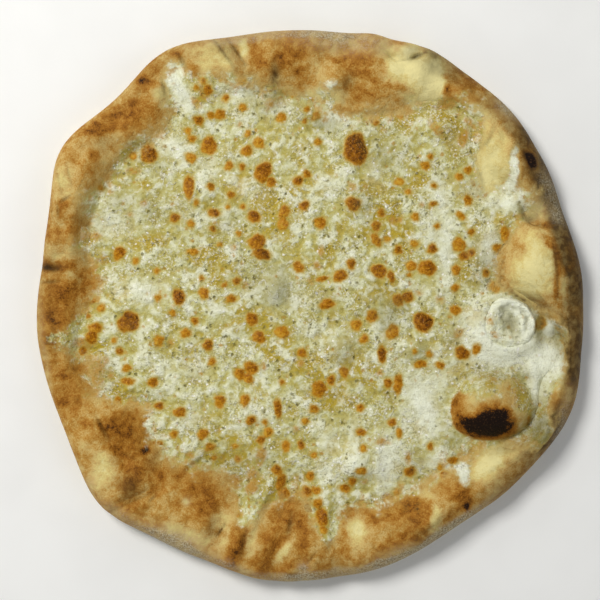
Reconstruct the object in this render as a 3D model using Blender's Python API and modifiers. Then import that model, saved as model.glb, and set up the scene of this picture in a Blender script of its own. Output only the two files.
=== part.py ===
"""A round mozzarella focaccia: baked dough with a raised crust, melted cheese, one soft piece of mozzarella.

Seen from above, +X is to the right and +Y away from the viewer. The dough lies on z = 0, centred on the axis.
"""

import math

import bmesh
import bpy
import numpy as np

MM = 0.001

# Driving dimensions, in millimetres and degrees.
EDGE_RADIUS = 161.6
CHEESE_RADIUS = 125.5
CRUST_FOOT_RADIUS = 124.0
FLOOR_HEIGHT = 7.0
CRUST_FOOT_HEIGHT = 9.5
CRUST_FOOT_WIDTH = 18.0
CREST_HEIGHT = 19.0
CREST_INSET = 17.0
EDGE_ROUNDING = 9.0
WIDEST_AT = 0.4
FOOT_INSET = 6.0
CHEESE_THICKNESS = 3.6
CHEESE_EDGE_THICKNESS = 1.5
GAP = 0.35

# Where the dough's outer edge swells or draws in: direction, rise, half width.
EDGE_LOBES = (
    (148, 9.0, 9), (134, 4.0, 16), (119, 9.0, 9), (105, 1.7, 9), (65, 4.6, 8),
    (52, 2.0, 8), (43, 2.4, 7), (77, 2.0, 4), (18, -2.5, 9), (-22, 5.0, 10),
    (-57, -4.7, 13), (-99, 3.0, 9), (-118, 1.6, 8), (-136, 9.0, 11), (172, -2.2, 9),
)

# Where the crust starts to rise nearer the middle or further out.
CRUST_FOOT_LOBES = (
    (80, -11.0, 16), (51, 19.0, 11), (28, 11.0, 7), (9, -13.0, 9), (-10, 25.0, 10),
    (-29, 25.0, 11), (-95, -7.0, 14), (-117, -9.0, 8), (-133, -4.0, 9), (-148, -9.0, 7),
    (-167, 15.0, 12), (160, 13.0, 12), (142, 11.0, 11), (117, 10.0, 12),
)

# Where the melted cheese ran out in tongues or stopped short in bays.
CHEESE_LOBES = (
    (80, -12.5, 16), (51, 26.0, 10), (26, 19.0, 6), (9, -14.0, 9), (-9, 30.0, 8),
    (-16, 9.0, 5), (-28, 28.0, 9), (-49, 12.0, 3), (-86.5, 26.0, 2.8), (-94, -13.0, 7),
    (-105, 24.0, 2.8), (-117, -10.5, 7), (-133, -4.5, 9), (-148, -12.0, 5), (-159, 16.0, 7),
    (-173, 24.0, 6), (164, 14.0, 5), (155, 15.0, 4), (143, 15.5, 10), (120, 30.0, 3),
    (116, 18.0, 14),
)

# How much higher or lower than CREST_HEIGHT the crust stands.
CREST_LOBES = (
    (148, 3.5, 12), (134, -1.0, 6), (119, -5.5, 4), (80, -2.0, 14), (63, 1.5, 8),
    (36, 3.5, 10), (21, -4.5, 3.5), (10, 3.0, 8), (-22, 2.5, 14), (-50, 1.5, 8),
    (-84, -1.5, 3), (-92, 2.5, 5), (-97.5, -2.5, 2.5), (-104, 2.0, 4), (-112, -2.0, 3),
    (-136, 3.0, 13), (-165, -1.5, 8), (172, 1.5, 7), (158, 1.5, 6),
)

# Relief of the crust: x, y, half length, half width, direction of the length, rise.
CRUST_RELIEF = (
    (15.6, 129.3, 9.0, 8.5, 0, 3.5),         # small blister on the inner slope
    (128.7, 21.5, 18.0, 13.5, 97, 6.0),      # pale bubble beside the piece of mozzarella
    (130.0, 53.0, 11.0, 3.0, -49, -5.0),     # fold between two bubbles
    (143.0, 23.0, 13.0, 3.0, 92, 1.5),       # crumbly ridge outside the pale bubble
    (48.5, 144.5, 6.0, 2.6, -30, -3.0),      # split in the crust
    (64.0, 145.0, 7.0, 2.6, 25, -2.5),
    (-117.0, 94.5, 9.0, 6.5, 40, -3.5),      # hollow beside the cheese
    (-112.0, -85.0, 13.0, 3.0, -55, -2.5),   # creases of the lower left crust
    (-100.0, -113.0, 15.0, 3.0, 22, -3.0),
    (-66.0, -92.0, 9.0, 4.0, 35, -2.0),
    (-43.5, -140.5, 11.0, 4.5, 72, 3.0),     # ridges that run out to the edge
    (-20.0, -134.0, 13.0, 4.5, 53, 2.5),
    (-31.0, -150.5, 9.0, 5.0, 0, 2.0),
    (-4.5, -152.0, 6.0, 4.5, 90, -2.5),
    (70.0, -126.0, 13.0, 5.0, 30, 2.0),
    (-150.0, 21.5, 4.5, 3.0, 80, -3.0),
)

# Bubbles under the cheese: x, y, radius, rise.
CHEESE_DOMES = (
    (-20.3, 9.1, 12.0, 4.5), (18.0, -24.0, 13.0, 5.0), (61.0, -26.0, 11.0, 4.5), (101.0, 26.0, 11.0, 4.5),
    (77.0, 105.5, 13.5, 5.0), (27.0, -94.5, 17.0, 6.0), (-62.0, 66.0, 15.0, 2.0), (-96.0, -24.0, 17.0, 2.0),
)

# The big bubble of bare dough that stands through the cheese: x, y, half length, half width, direction, top.
CHARRED_BUBBLE = (107.5, -59.5, 28.5, 22.5, 5, 25.0)

# The piece of mozzarella: a soft round slice, sunk in the middle.
PIECE_X = 116.7
PIECE_Y = -11.5
PIECE_RADIUS = 16.2
PIECE_PAD_HEIGHT = 11.2
PIECE_PAD_RADIUS = 27.0
PIECE_RIM_HEIGHT = 5.4
PIECE_HOLLOW_DEPTH = 2.4

STEPS_ROUND = 144
SEAT_RINGS = (0.70, 0.78, 0.85, 0.92, 0.9945)
RIM_RINGS = 9
SEED = 11

# Stations of the turned profiles: how far out on a profile of radius 1 each part of the top reaches.
UNDER_CHEESE = 0.6
RIM_TOP = 0.9


def relief_swells(x, y, size, seed):
    """Smooth random unevenness between -1 and 1, with swells as wide as size."""
    table = np.random.default_rng(seed).uniform(-1.0, 1.0, (64, 64))
    column, row = np.floor(x / size).astype(int), np.floor(y / size).astype(int)
    across, along = x / size - column, y / size - row
    across, along = across * across * (3 - 2 * across), along * along * (3 - 2 * along)
    near = table[column % 64, row % 64] * (1 - across) + table[(column + 1) % 64, row % 64] * across
    far = table[column % 64, (row + 1) % 64] * (1 - across) + table[(column + 1) % 64, (row + 1) % 64] * across
    return near * (1 - along) + far * along


def sum_of_lobes(angle, lobes):
    """Smooth rises at given directions, added up. Angles and half widths are in degrees."""
    total = np.zeros_like(angle)
    for direction, rise, half_width in lobes:
        turn = (angle - direction + 180.0) % 360.0 - 180.0
        total += rise * np.exp(-(turn / half_width) ** 2)
    return total


def oval_distance(x, y, oval_x, oval_y, half_length, half_width, direction):
    """0 at the middle of an oval, 1 on its edge."""
    c, s = math.cos(math.radians(direction)), math.sin(math.radians(direction))
    along = (x - oval_x) * c + (y - oval_y) * s
    across = (y - oval_y) * c - (x - oval_x) * s
    return np.hypot(along / half_length, across / half_width)


def ease(t):
    """0 to 1, flat at both ends."""
    t = np.clip(t, 0.0, 1.0)
    return t * t * (3 - 2 * t)


def edge_radius(angle):
    return EDGE_RADIUS + sum_of_lobes(angle, EDGE_LOBES)


def cheese_radius(angle):
    """The cheese always stops short of the crust's outer rounding."""
    reach = CHEESE_RADIUS + sum_of_lobes(angle, CHEESE_LOBES)
    return np.minimum(reach, edge_radius(angle) - EDGE_ROUNDING - 1.5)


def crust_foot(angle):
    """Where the crust begins to rise above the floor under the cheese."""
    return CRUST_FOOT_RADIUS + sum_of_lobes(angle, CRUST_FOOT_LOBES)


def dough_top(radius, angle):
    """Height of the dough: a flat floor in the middle, a slope, and the crust's broad crest."""
    x, y = radius * np.cos(np.radians(angle)), radius * np.sin(np.radians(angle))
    foot, edge = crust_foot(angle), edge_radius(angle)
    floor = FLOOR_HEIGHT + (CRUST_FOOT_HEIGHT - FLOOR_HEIGHT) * ease(1 + (radius - foot) / CRUST_FOOT_WIDTH)

    inset = np.minimum(CREST_INSET, 0.6 * (edge - foot))
    crest = CREST_HEIGHT + sum_of_lobes(angle, CREST_LOBES)
    climb = np.clip((radius - foot) / (edge - inset - foot), 0.0, 1.0)
    fall = np.clip((radius - edge + inset) / inset, 0.0, 1.0)
    rise = (crest - CRUST_FOOT_HEIGHT) * np.sin(0.5 * math.pi * climb) ** 1.4 - 0.12 * crest * fall ** 2

    uneven = 1.8 * relief_swells(x, y, 19.0, SEED) + 0.9 * relief_swells(x, y, 9.0, SEED + 1)
    for feature_x, feature_y, half_length, half_width, direction, height in CRUST_RELIEF:
        away = oval_distance(x, y, feature_x, feature_y, half_length, half_width, direction)
        uneven = uneven + height * np.exp(-away ** 2)
    return floor + rise + uneven * ease((radius - foot) / 6.0)


def cheese_top(radius, angle):
    """Height of the cheese: an even layer that thins to its edge, with swells and bubbles."""
    x, y = radius * np.cos(np.radians(angle)), radius * np.sin(np.radians(angle))
    thin = ease((radius / cheese_radius(angle) - 0.75) / 0.25)
    layer = CHEESE_THICKNESS + (CHEESE_EDGE_THICKNESS - CHEESE_THICKNESS) * thin
    swell = 0.9 * relief_swells(x, y, 21.0, SEED + 2) + 0.5 * relief_swells(x, y, 10.0, SEED + 3)
    for dome_x, dome_y, dome_radius, rise in CHEESE_DOMES:
        away = np.hypot(x - dome_x, y - dome_y) / dome_radius
        swell = swell + rise * (1 - ease(away))
    height = dough_top(radius, angle) + GAP + layer + swell * (1 - thin)
    pad = 1 - ease((np.hypot(x - PIECE_X, y - PIECE_Y) / PIECE_PAD_RADIUS - 0.72) / 0.28)
    return height + (PIECE_PAD_HEIGHT - height) * pad


def turned_body(name, profile, steps):
    """Turns a profile of (radius, height) points, top middle first, into a closed mesh object."""
    line = bpy.data.meshes.new(name + "_profile")
    line.from_pydata([(radius, 0.0, height) for radius, height in profile],
                     [(i, i + 1) for i in range(len(profile) - 1)], [])
    guide = bpy.data.objects.new(name + "_profile", line)
    bpy.context.scene.collection.objects.link(guide)
    screw = guide.modifiers.new("Turn", "SCREW")
    screw.steps = steps
    screw.render_steps = steps
    screw.use_merge_vertices = True
    screw.merge_threshold = 0.00001
    bpy.context.view_layer.update()
    mesh = bpy.data.meshes.new_from_object(guide.evaluated_get(bpy.context.evaluated_depsgraph_get()))
    bpy.data.objects.remove(guide)
    mesh.name = name
    return bpy.data.objects.new(name, mesh)


def shape_points(body, rule):
    """Moves every point of a turned body: rule(radius, angle, height) gives new x, y, z in millimetres."""
    mesh = body.data
    points = np.empty(len(mesh.vertices) * 3)
    mesh.vertices.foreach_get("co", points)
    x, y, height = points.reshape(-1, 3).T
    angle = np.degrees(np.arctan2(y, x))
    moved = np.stack(rule(np.hypot(x, y), angle, height), axis=1) * MM
    mesh.vertices.foreach_set("co", moved.ravel())

    work = bmesh.new()
    work.from_mesh(mesh)
    bmesh.ops.triangulate(work, faces=work.faces[:], quad_method="SHORT_EDGE")
    bmesh.ops.recalc_face_normals(work, faces=work.faces[:])
    work.to_mesh(mesh)
    work.free()
    mesh.shade_smooth()
    mesh.update()


def at(radius, angle, z):
    return radius * np.cos(np.radians(angle)), radius * np.sin(np.radians(angle)), z


def quarter(count):
    """Angles of a quarter turn, without its first end."""
    return [0.5 * math.pi * (i + 1) / count for i in range(count)]


def make_dough():
    profile = [(0.0, 1.0)]
    profile += [(UNDER_CHEESE * ring, 1.0) for ring in SEAT_RINGS]
    profile += [(UNDER_CHEESE + (RIM_TOP - UNDER_CHEESE) * (i + 1) / RIM_RINGS, 1.0) for i in range(RIM_RINGS)]
    side = 1.0 - RIM_TOP
    profile += [(RIM_TOP + side * math.sin(a), WIDEST_AT + (1 - WIDEST_AT) * math.cos(a)) for a in quarter(4)]
    foot = FOOT_INSET / EDGE_ROUNDING * side
    profile += [(1.0 - foot * (1 - math.cos(a)), WIDEST_AT * (1 - math.sin(a))) for a in quarter(2)]
    profile.append((0.0, 0.0))
    dough = turned_body("dough", profile, STEPS_ROUND)

    def rule(station, angle, fraction):
        edge, cheese = edge_radius(angle), cheese_radius(angle)
        shoulder = edge - EDGE_ROUNDING
        radius = (cheese * np.clip(station / UNDER_CHEESE, 0, 1)
                  + (shoulder - cheese) * np.clip((station - UNDER_CHEESE) / (RIM_TOP - UNDER_CHEESE), 0, 1)
                  + EDGE_ROUNDING * np.clip((station - RIM_TOP) / (1 - RIM_TOP), 0, 1))
        return at(radius, angle, fraction * dough_top(np.minimum(radius, shoulder), angle))

    shape_points(dough, rule)
    return dough


def round_grid(x, y):
    """Carries a square grid of half size 1 to a disc, so that its square rings become circles."""
    ring = np.maximum(np.abs(x), np.abs(y))
    wide = np.abs(x) >= np.abs(y)
    share = np.divide(np.where(wide, y, x), np.where(wide, x, y), out=np.zeros_like(x), where=ring > 1e-9)
    turn = np.where(wide, 45.0 * share, 90.0 - 45.0 * share)
    return ring, turn + np.where(np.where(wide, x, y) < 0, 180.0, 0.0)


def make_cheese():
    """A disc of even squares on top; its border goes down to the dough and in below on the dough's rings."""
    work = bmesh.new()
    squares = STEPS_ROUND // 4
    bmesh.ops.create_grid(work, x_segments=squares, y_segments=squares, size=1.0)
    points = np.array([vertex.co for vertex in work.verts])
    ring, angle = round_grid(points[:, 0], points[:, 1])
    reach = SEAT_RINGS[-1] * cheese_radius(angle) * ring ** 3 + CHEESE_RADIUS * (1 - ring ** 3)
    radius = ring * reach
    for vertex, place in zip(work.verts, np.stack(at(radius, angle, cheese_top(radius, angle)), axis=1)):
        vertex.co = place

    border = [edge for edge in work.edges if edge.is_boundary]
    for share, height in [(1.0, 0.5)] + [(share, 0.0) for share in reversed(SEAT_RINGS)]:
        new = bmesh.ops.extrude_edge_only(work, edges=border)["geom"]
        border = [item for item in new if isinstance(item, bmesh.types.BMEdge)]
        border = [edge for edge in border if edge.is_boundary]
        loop = list({vertex for edge in border for vertex in edge.verts})
        angle = np.array([math.degrees(math.atan2(vertex.co.y, vertex.co.x)) for vertex in loop])
        radius = share * cheese_radius(angle)
        under = dough_top(radius, angle) + GAP
        over = cheese_top(radius, angle)
        for vertex, place in zip(loop, np.stack(at(radius, angle, under + (over - under) * height), axis=1)):
            vertex.co = place
    base = bmesh.ops.contextual_create(work, geom=border)["faces"]
    bmesh.ops.poke(work, faces=base)
    bmesh.ops.scale(work, vec=(MM, MM, MM), verts=work.verts[:])
    bmesh.ops.triangulate(work, faces=work.faces[:], quad_method="SHORT_EDGE")
    bmesh.ops.recalc_face_normals(work, faces=work.faces[:])

    mesh = bpy.data.meshes.new("melted_cheese")
    work.to_mesh(mesh)
    work.free()
    mesh.shade_smooth()
    return bpy.data.objects.new("melted_cheese", mesh)


def charred_bubble(name, swollen):
    """A dome of dough. Swollen by GAP, it is the room that the cheese leaves round it."""
    middle_x, middle_y, half_length, half_width, direction, top = CHARRED_BUBBLE
    base = 2.0
    profile = [(math.sin(a), math.cos(a)) for a in [0.0] + quarter(8)] + [(0.0, 0.0)]
    body = turned_body(name, profile, 40)

    def rule(station, angle, fraction):
        wobble = 1 + 0.035 * np.cos(np.radians(3 * angle + 40)) + 0.02 * np.cos(np.radians(5 * angle))
        along = (half_length + swollen) * station * wobble * np.cos(np.radians(angle))
        across = (half_width + swollen) * station * wobble * np.sin(np.radians(angle))
        c, s = math.cos(math.radians(direction)), math.sin(math.radians(direction))
        return (middle_x + along * c - across * s, middle_y + along * s + across * c,
                base + (top - base + swollen) * fraction)

    shape_points(body, rule)
    return body


def make_piece():
    """A soft slice with a rounded rim, higher on the outer side, and a shallow hollow."""
    profile = [(0.82 * i / 5, 1.0) for i in range(6)]
    profile += [(0.82 + 0.18 * math.sin(a), 0.35 + 0.65 * math.cos(a)) for a in quarter(4)]
    profile += [(0.95, 0.0), (0.0, 0.0)]
    piece = turned_body("mozzarella_piece", profile, 40)

    def rule(station, angle, fraction):
        turn = np.radians(angle)
        radius = PIECE_RADIUS * station * (1 + 0.03 * np.cos(2 * turn + 1) + 0.02 * np.cos(3 * turn))
        rim = PIECE_RIM_HEIGHT * (0.88 + 0.12 * np.cos(turn + 0.2))
        hollow = PIECE_HOLLOW_DEPTH * (1 - ease((station - 0.2) / 0.5))
        x, y, z = at(radius, angle, PIECE_PAD_HEIGHT + GAP + fraction * (rim - hollow))
        return x + PIECE_X, y + PIECE_Y, z

    shape_points(piece, rule)
    return piece


def finish_boolean(body, operation, tool):
    """Applies one exact Boolean and removes its tool."""
    cut = body.modifiers.new(tool.name, "BOOLEAN")
    cut.operation = operation
    cut.solver = "EXACT"
    cut.object = tool
    bpy.context.view_layer.update()
    result = bpy.data.meshes.new_from_object(body.evaluated_get(bpy.context.evaluated_depsgraph_get()))
    body.modifiers.clear()
    old = body.data
    body.data = result
    result.name = body.name
    bpy.data.meshes.remove(old)
    bpy.data.objects.remove(tool)


def centre_on_dough(bodies):
    """Puts the middle of the dough's box on the axis and its underside on z = 0."""
    corners = np.array([vertex.co for vertex in bodies[0].data.vertices])
    low, high = corners.min(axis=0), corners.max(axis=0)
    shift = np.array([-0.5 * (low[0] + high[0]), -0.5 * (low[1] + high[1]), -low[2]])
    for body in bodies:
        for vertex in body.data.vertices:
            vertex.co = np.array(vertex.co) + shift


def food_material(name, colour, roughness, subsurface):
    material = bpy.data.materials.new(name)
    material.use_nodes = True
    shader = material.node_tree.nodes["Principled BSDF"]
    shader.inputs["Base Color"].default_value = (*colour, 1.0)
    shader.inputs["Roughness"].default_value = roughness
    shader.inputs["Metallic"].default_value = 0.0
    shader.inputs["Subsurface Weight"].default_value = subsurface
    return material


def main():
    for thing in list(bpy.data.objects):
        bpy.data.objects.remove(thing, do_unlink=True)
    collection = bpy.data.collections.new("mozzarella_focaccia")
    bpy.context.scene.collection.children.link(collection)

    dough, cheese, piece = make_dough(), make_cheese(), make_piece()
    for body in (dough, cheese, piece):
        collection.objects.link(body)

    room, bubble = charred_bubble("bubble_room", GAP), charred_bubble("charred_bubble", 0.0)
    for body, operation, tool in ((cheese, "DIFFERENCE", room), (dough, "UNION", bubble)):
        collection.objects.link(tool)
        finish_boolean(body, operation, tool)

    centre_on_dough([dough, cheese, piece])
    dough.data.materials.append(food_material("baked_crust", (0.56, 0.33, 0.13), 0.75, 0.05))
    cheese.data.materials.append(food_material("melted_mozzarella", (0.72, 0.68, 0.45), 0.35, 0.15))
    piece.data.materials.append(food_material("soft_mozzarella", (0.84, 0.82, 0.68), 0.3, 0.2))
    for body in (dough, cheese, piece):
        body.data.shade_smooth()


main()
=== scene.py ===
"""The looks of the round mozzarella focaccia: baked dough, melted cheese and one soft piece of mozzarella.

Forms repeat the rules of the solids, with the fine relief added. Lengths are in millimetres up to the last step.
"""

import math

import bmesh
import bpy
import numpy as np
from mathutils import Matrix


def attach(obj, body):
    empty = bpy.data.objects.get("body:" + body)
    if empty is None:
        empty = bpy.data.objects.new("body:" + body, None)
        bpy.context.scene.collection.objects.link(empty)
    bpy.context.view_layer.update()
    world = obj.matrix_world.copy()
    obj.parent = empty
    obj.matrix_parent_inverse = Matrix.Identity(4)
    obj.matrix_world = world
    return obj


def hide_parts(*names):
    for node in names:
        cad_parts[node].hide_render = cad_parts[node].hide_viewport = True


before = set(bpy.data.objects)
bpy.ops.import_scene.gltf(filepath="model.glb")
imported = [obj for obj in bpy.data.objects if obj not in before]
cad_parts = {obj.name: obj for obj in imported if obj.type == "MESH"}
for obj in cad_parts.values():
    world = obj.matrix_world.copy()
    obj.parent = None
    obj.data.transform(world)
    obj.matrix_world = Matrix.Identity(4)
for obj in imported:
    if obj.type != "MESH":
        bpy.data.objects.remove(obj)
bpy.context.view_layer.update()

MM = 0.001

# The solids' driving dimensions, in millimetres and degrees.
EDGE_RADIUS = 161.6
CHEESE_RADIUS = 125.5
CRUST_FOOT_RADIUS = 124.0
FLOOR_HEIGHT = 7.0
CRUST_FOOT_HEIGHT = 9.5
CRUST_FOOT_WIDTH = 18.0
CREST_HEIGHT = 19.0
CREST_INSET = 17.0
EDGE_ROUNDING = 9.0
WIDEST_AT = 0.4
FOOT_INSET = 6.0
CHEESE_THICKNESS = 3.6
GAP = 0.35
SEED = 11

EDGE_LOBES = (
    (148, 9.0, 9), (134, 4.0, 16), (119, 9.0, 9), (105, 1.7, 9), (65, 4.6, 8), (52, 2.0, 8), (43, 2.4, 7),
    (77, 2.0, 4), (18, -2.5, 9), (-22, 5.0, 10), (-57, -4.7, 13), (-99, 3.0, 9), (-118, 1.6, 8), (-136, 9.0, 11),
    (172, -2.2, 9),
)
CRUST_FOOT_LOBES = (
    (80, -11.0, 16), (51, 19.0, 11), (28, 11.0, 7), (9, -13.0, 9), (-10, 25.0, 10), (-29, 25.0, 11), (-95, -7.0, 14),
    (-117, -9.0, 8), (-133, -4.0, 9), (-148, -9.0, 7), (-167, 15.0, 12), (160, 13.0, 12), (142, 11.0, 11),
    (117, 10.0, 12),
)
CHEESE_LOBES = (
    (80, -12.5, 16), (51, 26.0, 10), (26, 19.0, 6), (9, -14.0, 9), (-9, 30.0, 8), (-16, 9.0, 5), (-28, 28.0, 9),
    (-49, 12.0, 3), (-86.5, 26.0, 2.8), (-94, -13.0, 7), (-105, 24.0, 2.8), (-117, -10.5, 7), (-133, -4.5, 9),
    (-148, -12.0, 5), (-159, 16.0, 7), (-173, 24.0, 6), (164, 14.0, 5), (155, 15.0, 4), (143, 15.5, 10),
    (120, 30.0, 3), (116, 18.0, 14),
)
CREST_LOBES = (
    (148, 3.5, 12), (134, -1.0, 6), (119, -5.5, 4), (80, -2.0, 14), (63, 1.5, 8), (36, 3.5, 10), (21, -4.5, 3.5),
    (10, 3.0, 8), (-22, 2.5, 14), (-50, 1.5, 8), (-84, -1.5, 3), (-92, 2.5, 5), (-97.5, -2.5, 2.5), (-104, 2.0, 4),
    (-112, -2.0, 3), (-136, 3.0, 13), (-165, -1.5, 8), (172, 1.5, 7), (158, 1.5, 6),
)
CRUST_RELIEF = (
    (15.6, 129.3, 9.0, 8.5, 0, 3.5), (128.7, 21.5, 18.0, 13.5, 97, 6.0), (130.0, 53.0, 11.0, 3.0, -49, -5.0),
    (143.0, 23.0, 13.0, 3.0, 92, 1.5), (48.5, 144.5, 6.0, 2.6, -30, -3.0), (64.0, 145.0, 7.0, 2.6, 25, -2.5),
    (-117.0, 94.5, 9.0, 6.5, 40, -3.5), (-112.0, -85.0, 13.0, 3.0, -55, -2.5), (-100.0, -113.0, 15.0, 3.0, 22, -3.0),
    (-66.0, -92.0, 9.0, 4.0, 35, -2.0), (-43.5, -140.5, 11.0, 4.5, 72, 3.0), (-20.0, -134.0, 13.0, 4.5, 53, 2.5),
    (-31.0, -150.5, 9.0, 5.0, 0, 2.0), (-4.5, -152.0, 6.0, 4.5, 90, -2.5), (70.0, -126.0, 13.0, 5.0, 30, 2.0),
    (-150.0, 21.5, 4.5, 3.0, 80, -3.0),
)
CHEESE_DOMES = (
    (-20.3, 9.1, 12.0, 4.5), (18.0, -24.0, 13.0, 5.0), (61.0, -26.0, 11.0, 4.5), (101.0, 26.0, 11.0, 4.5),
    (77.0, 105.5, 13.5, 5.0), (27.0, -94.5, 17.0, 6.0), (-62.0, 66.0, 15.0, 2.0), (-96.0, -24.0, 17.0, 2.0),
)
CHARRED_BUBBLE = (107.5, -59.5, 28.5, 22.5, 5, 25.0)
PIECE_X = 116.7
PIECE_Y = -11.5
PIECE_RADIUS = 16.2
PIECE_PAD_HEIGHT = 11.2
PIECE_PAD_RADIUS = 27.0
PIECE_RIM_HEIGHT = 5.4

# Where things lie is read off the photograph: its pixel size on the object, and the pixel over the axis.
PIXEL = 0.589
AXIS_PIXEL_X = 309.5
AXIS_PIXEL_Y = 304.5
PHOTO_SIZE = 600

# Browned blisters of the cheese, in pixels: x, y, then a radius, or half length, half width and any direction.
BLISTERS = (
    (149, 154, 9), (133, 156, 4), (204, 82, 3), (208, 91, 5), (197, 89, 3), (226, 98, 3.5), (243, 82, 4),
    (262, 84, 3), (220, 115, 5.5), (211, 116, 4), (199, 121, 5), (243, 108, 4), (281, 118, 5), (188, 131, 3.5),
    (192, 139, 4), (209, 146, 8.5), (248, 134, 3.5), (259, 143, 5.5), (247, 151, 5.5), (191, 158, 6, 5), (293, 95, 3),
    (307, 109, 3), (316, 116, 5, 4, 20), (305, 121, 2.5), (318, 142, 3.5), (355.5, 149.5, 15.5, 12.5, 90),
    (376, 123, 3), (400, 116, 3), (498, 127, 5), (507, 133, 5, 4, -20), (498, 146, 3), (425, 166, 4.5), (430, 157, 3),
    (459, 177, 4), (468, 170, 4), (434, 186, 3), (468, 200, 6, 4, 90), (433, 204, 4.5, 2.5), (461, 216, 6, 3, -35),
    (471, 232, 3.5), (437, 226, 3), (505, 234, 8, 5, 90), (497, 248, 4.5), (459, 245, 8, 6, 100), (464, 256, 5),
    (471, 253, 4), (432, 249, 5), (427, 268, 9, 8.5), (411, 266, 6, 5, -40), (409, 275, 2.5), (456, 270, 5),
    (455, 288, 4), (486, 273, 4), (495, 287, 5), (528, 297, 6, 4, -25), (229, 166, 4.5), (242, 167, 3.5),
    (263, 172, 10.5, 8.5, 75), (271, 182, 6, 4.5, -60), (298, 181, 6, 4.5, 20), (307, 174, 4),
    (189, 187, 12.5, 5.5, 95), (211, 187, 4), (231, 195, 4), (197, 203, 3), (228, 207, 2.5), (243, 207, 3),
    (254, 217, 6.5), (214, 213, 6, 4.5, -20), (284, 212, 7, 5.5, 75), (283, 224, 7, 5.5, 60), (175, 218, 5),
    (191, 224, 4), (213, 229, 3.5), (239, 234, 3), (257, 242, 8.5, 8), (262, 254, 9, 6, -25), (193, 252, 6, 3.5),
    (220, 245, 2.5), (202, 278, 2.5), (225, 285, 3), (237, 281, 4), (204, 293, 5.5), (179, 297, 8, 6.5, 90),
    (231, 299, 5.5, 4), (158, 298, 3.5), (297, 265, 4), (157, 271, 3), (119.5, 253, 7, 6, 70), (136, 261, 3.5),
    (101, 188, 3), (353, 204, 7.5), (304, 206, 5), (320, 223, 7, 5.5), (399, 182, 5, 4, 20), (408, 192, 3),
    (381, 213, 4), (415, 217, 4), (376, 226, 5), (376, 240, 7, 4.5, -55), (387, 239, 3.5), (414, 244, 4),
    (398, 250, 4.5), (379, 271, 9, 6.5, -15), (391, 277, 6.5, 3.5, -75), (351, 264, 5), (340, 276, 7, 6, 30),
    (322, 279, 7, 2.5, 10), (299, 268, 5), (398, 300, 6), (407, 297, 6), (81, 307, 8, 4.5, 25),
    (93, 301, 4.5, 2.5, 40), (101, 308, 4), (88, 316, 3), (129, 322, 11), (96, 328, 6.5, 5.5),
    (92, 337, 7.5, 6.5, 80), (83, 351, 4.5), (114, 341, 3), (120, 351, 4), (159, 341, 5.5), (127, 368, 4),
    (128, 381, 6, 4), (153, 382, 5), (118, 401, 5, 4, 90), (132, 408, 9, 6, 10), (107, 414, 4), (159, 406, 5, 4, 20),
    (173, 313, 3.5), (195, 321, 4), (186, 333, 5), (208, 345, 5.5), (212, 362, 4), (252, 319, 6.5), (259, 337, 7, 6),
    (282, 332, 7, 6.5), (251, 368, 7.5, 6.5, 20), (240, 374, 6), (248, 378, 5.5), (180, 412, 6, 5), (220, 401, 6),
    (245, 400, 6, 5, 90), (278, 408, 9, 4, 95), (251, 420, 5), (174, 434, 4), (203, 434, 5.5), (268, 432, 5),
    (261, 440, 4.5), (265, 422, 3), (282, 382, 3), (327, 304, 8.5, 5, 10), (372, 316, 6), (356, 325, 6, 5, 20),
    (364, 339, 4.5), (392, 332, 8, 6, 80), (423, 322, 10.5, 9.5, 90), (302, 353, 5), (382, 354, 9, 4.5, 100),
    (414, 351, 2.5), (429, 354, 3.5), (420, 364, 6, 4.5), (388, 383, 4.5), (398, 384, 9.5, 4.5, 85), (319, 389, 8),
    (331, 380, 4.5), (344, 372, 6, 4.5, 90), (314, 409, 4.5), (305, 421, 3.5), (360, 408, 4), (392, 422, 4),
    (399, 433, 5, 3, 90), (361, 432, 5, 4), (455, 310, 6, 4.5), (462, 353, 8, 6.5, -50), (476, 349, 5.5, 4, 90),
    (440, 365, 4), (540, 323, 8, 5, 80), (158, 444, 5, 3.5), (210, 447, 5, 4.5), (214, 458, 3), (185, 469, 4, 3),
    (235, 446, 3), (238, 459, 3.5), (286, 446, 5.5, 4.5, 90), (301, 445, 5, 3.5, 90), (314, 455, 3.5),
    (277, 470, 6, 5, -20), (310, 476, 4.5), (281, 482, 8, 5, 75), (284, 493, 6), (307, 492, 6.5, 5, 90),
    (316, 490, 5, 4), (238, 514, 4, 2.5), (318, 503, 5), (322, 516, 9, 6.5, 100), (323, 528, 4), (363, 448, 3.5),
    (361, 470, 5, 4), (352, 481, 4.5), (345, 488, 6.5, 4), (410, 472, 5.5), (430, 446, 3.5), (453, 460, 5.5, 4),
    (444, 475, 5), (440, 467, 3), (397, 492, 3.5), (333, 75, 6, 3.5, 15), (504, 386, 6, 4, 70),
    (526, 420, 5.5, 3.5, 80),
)
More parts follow.
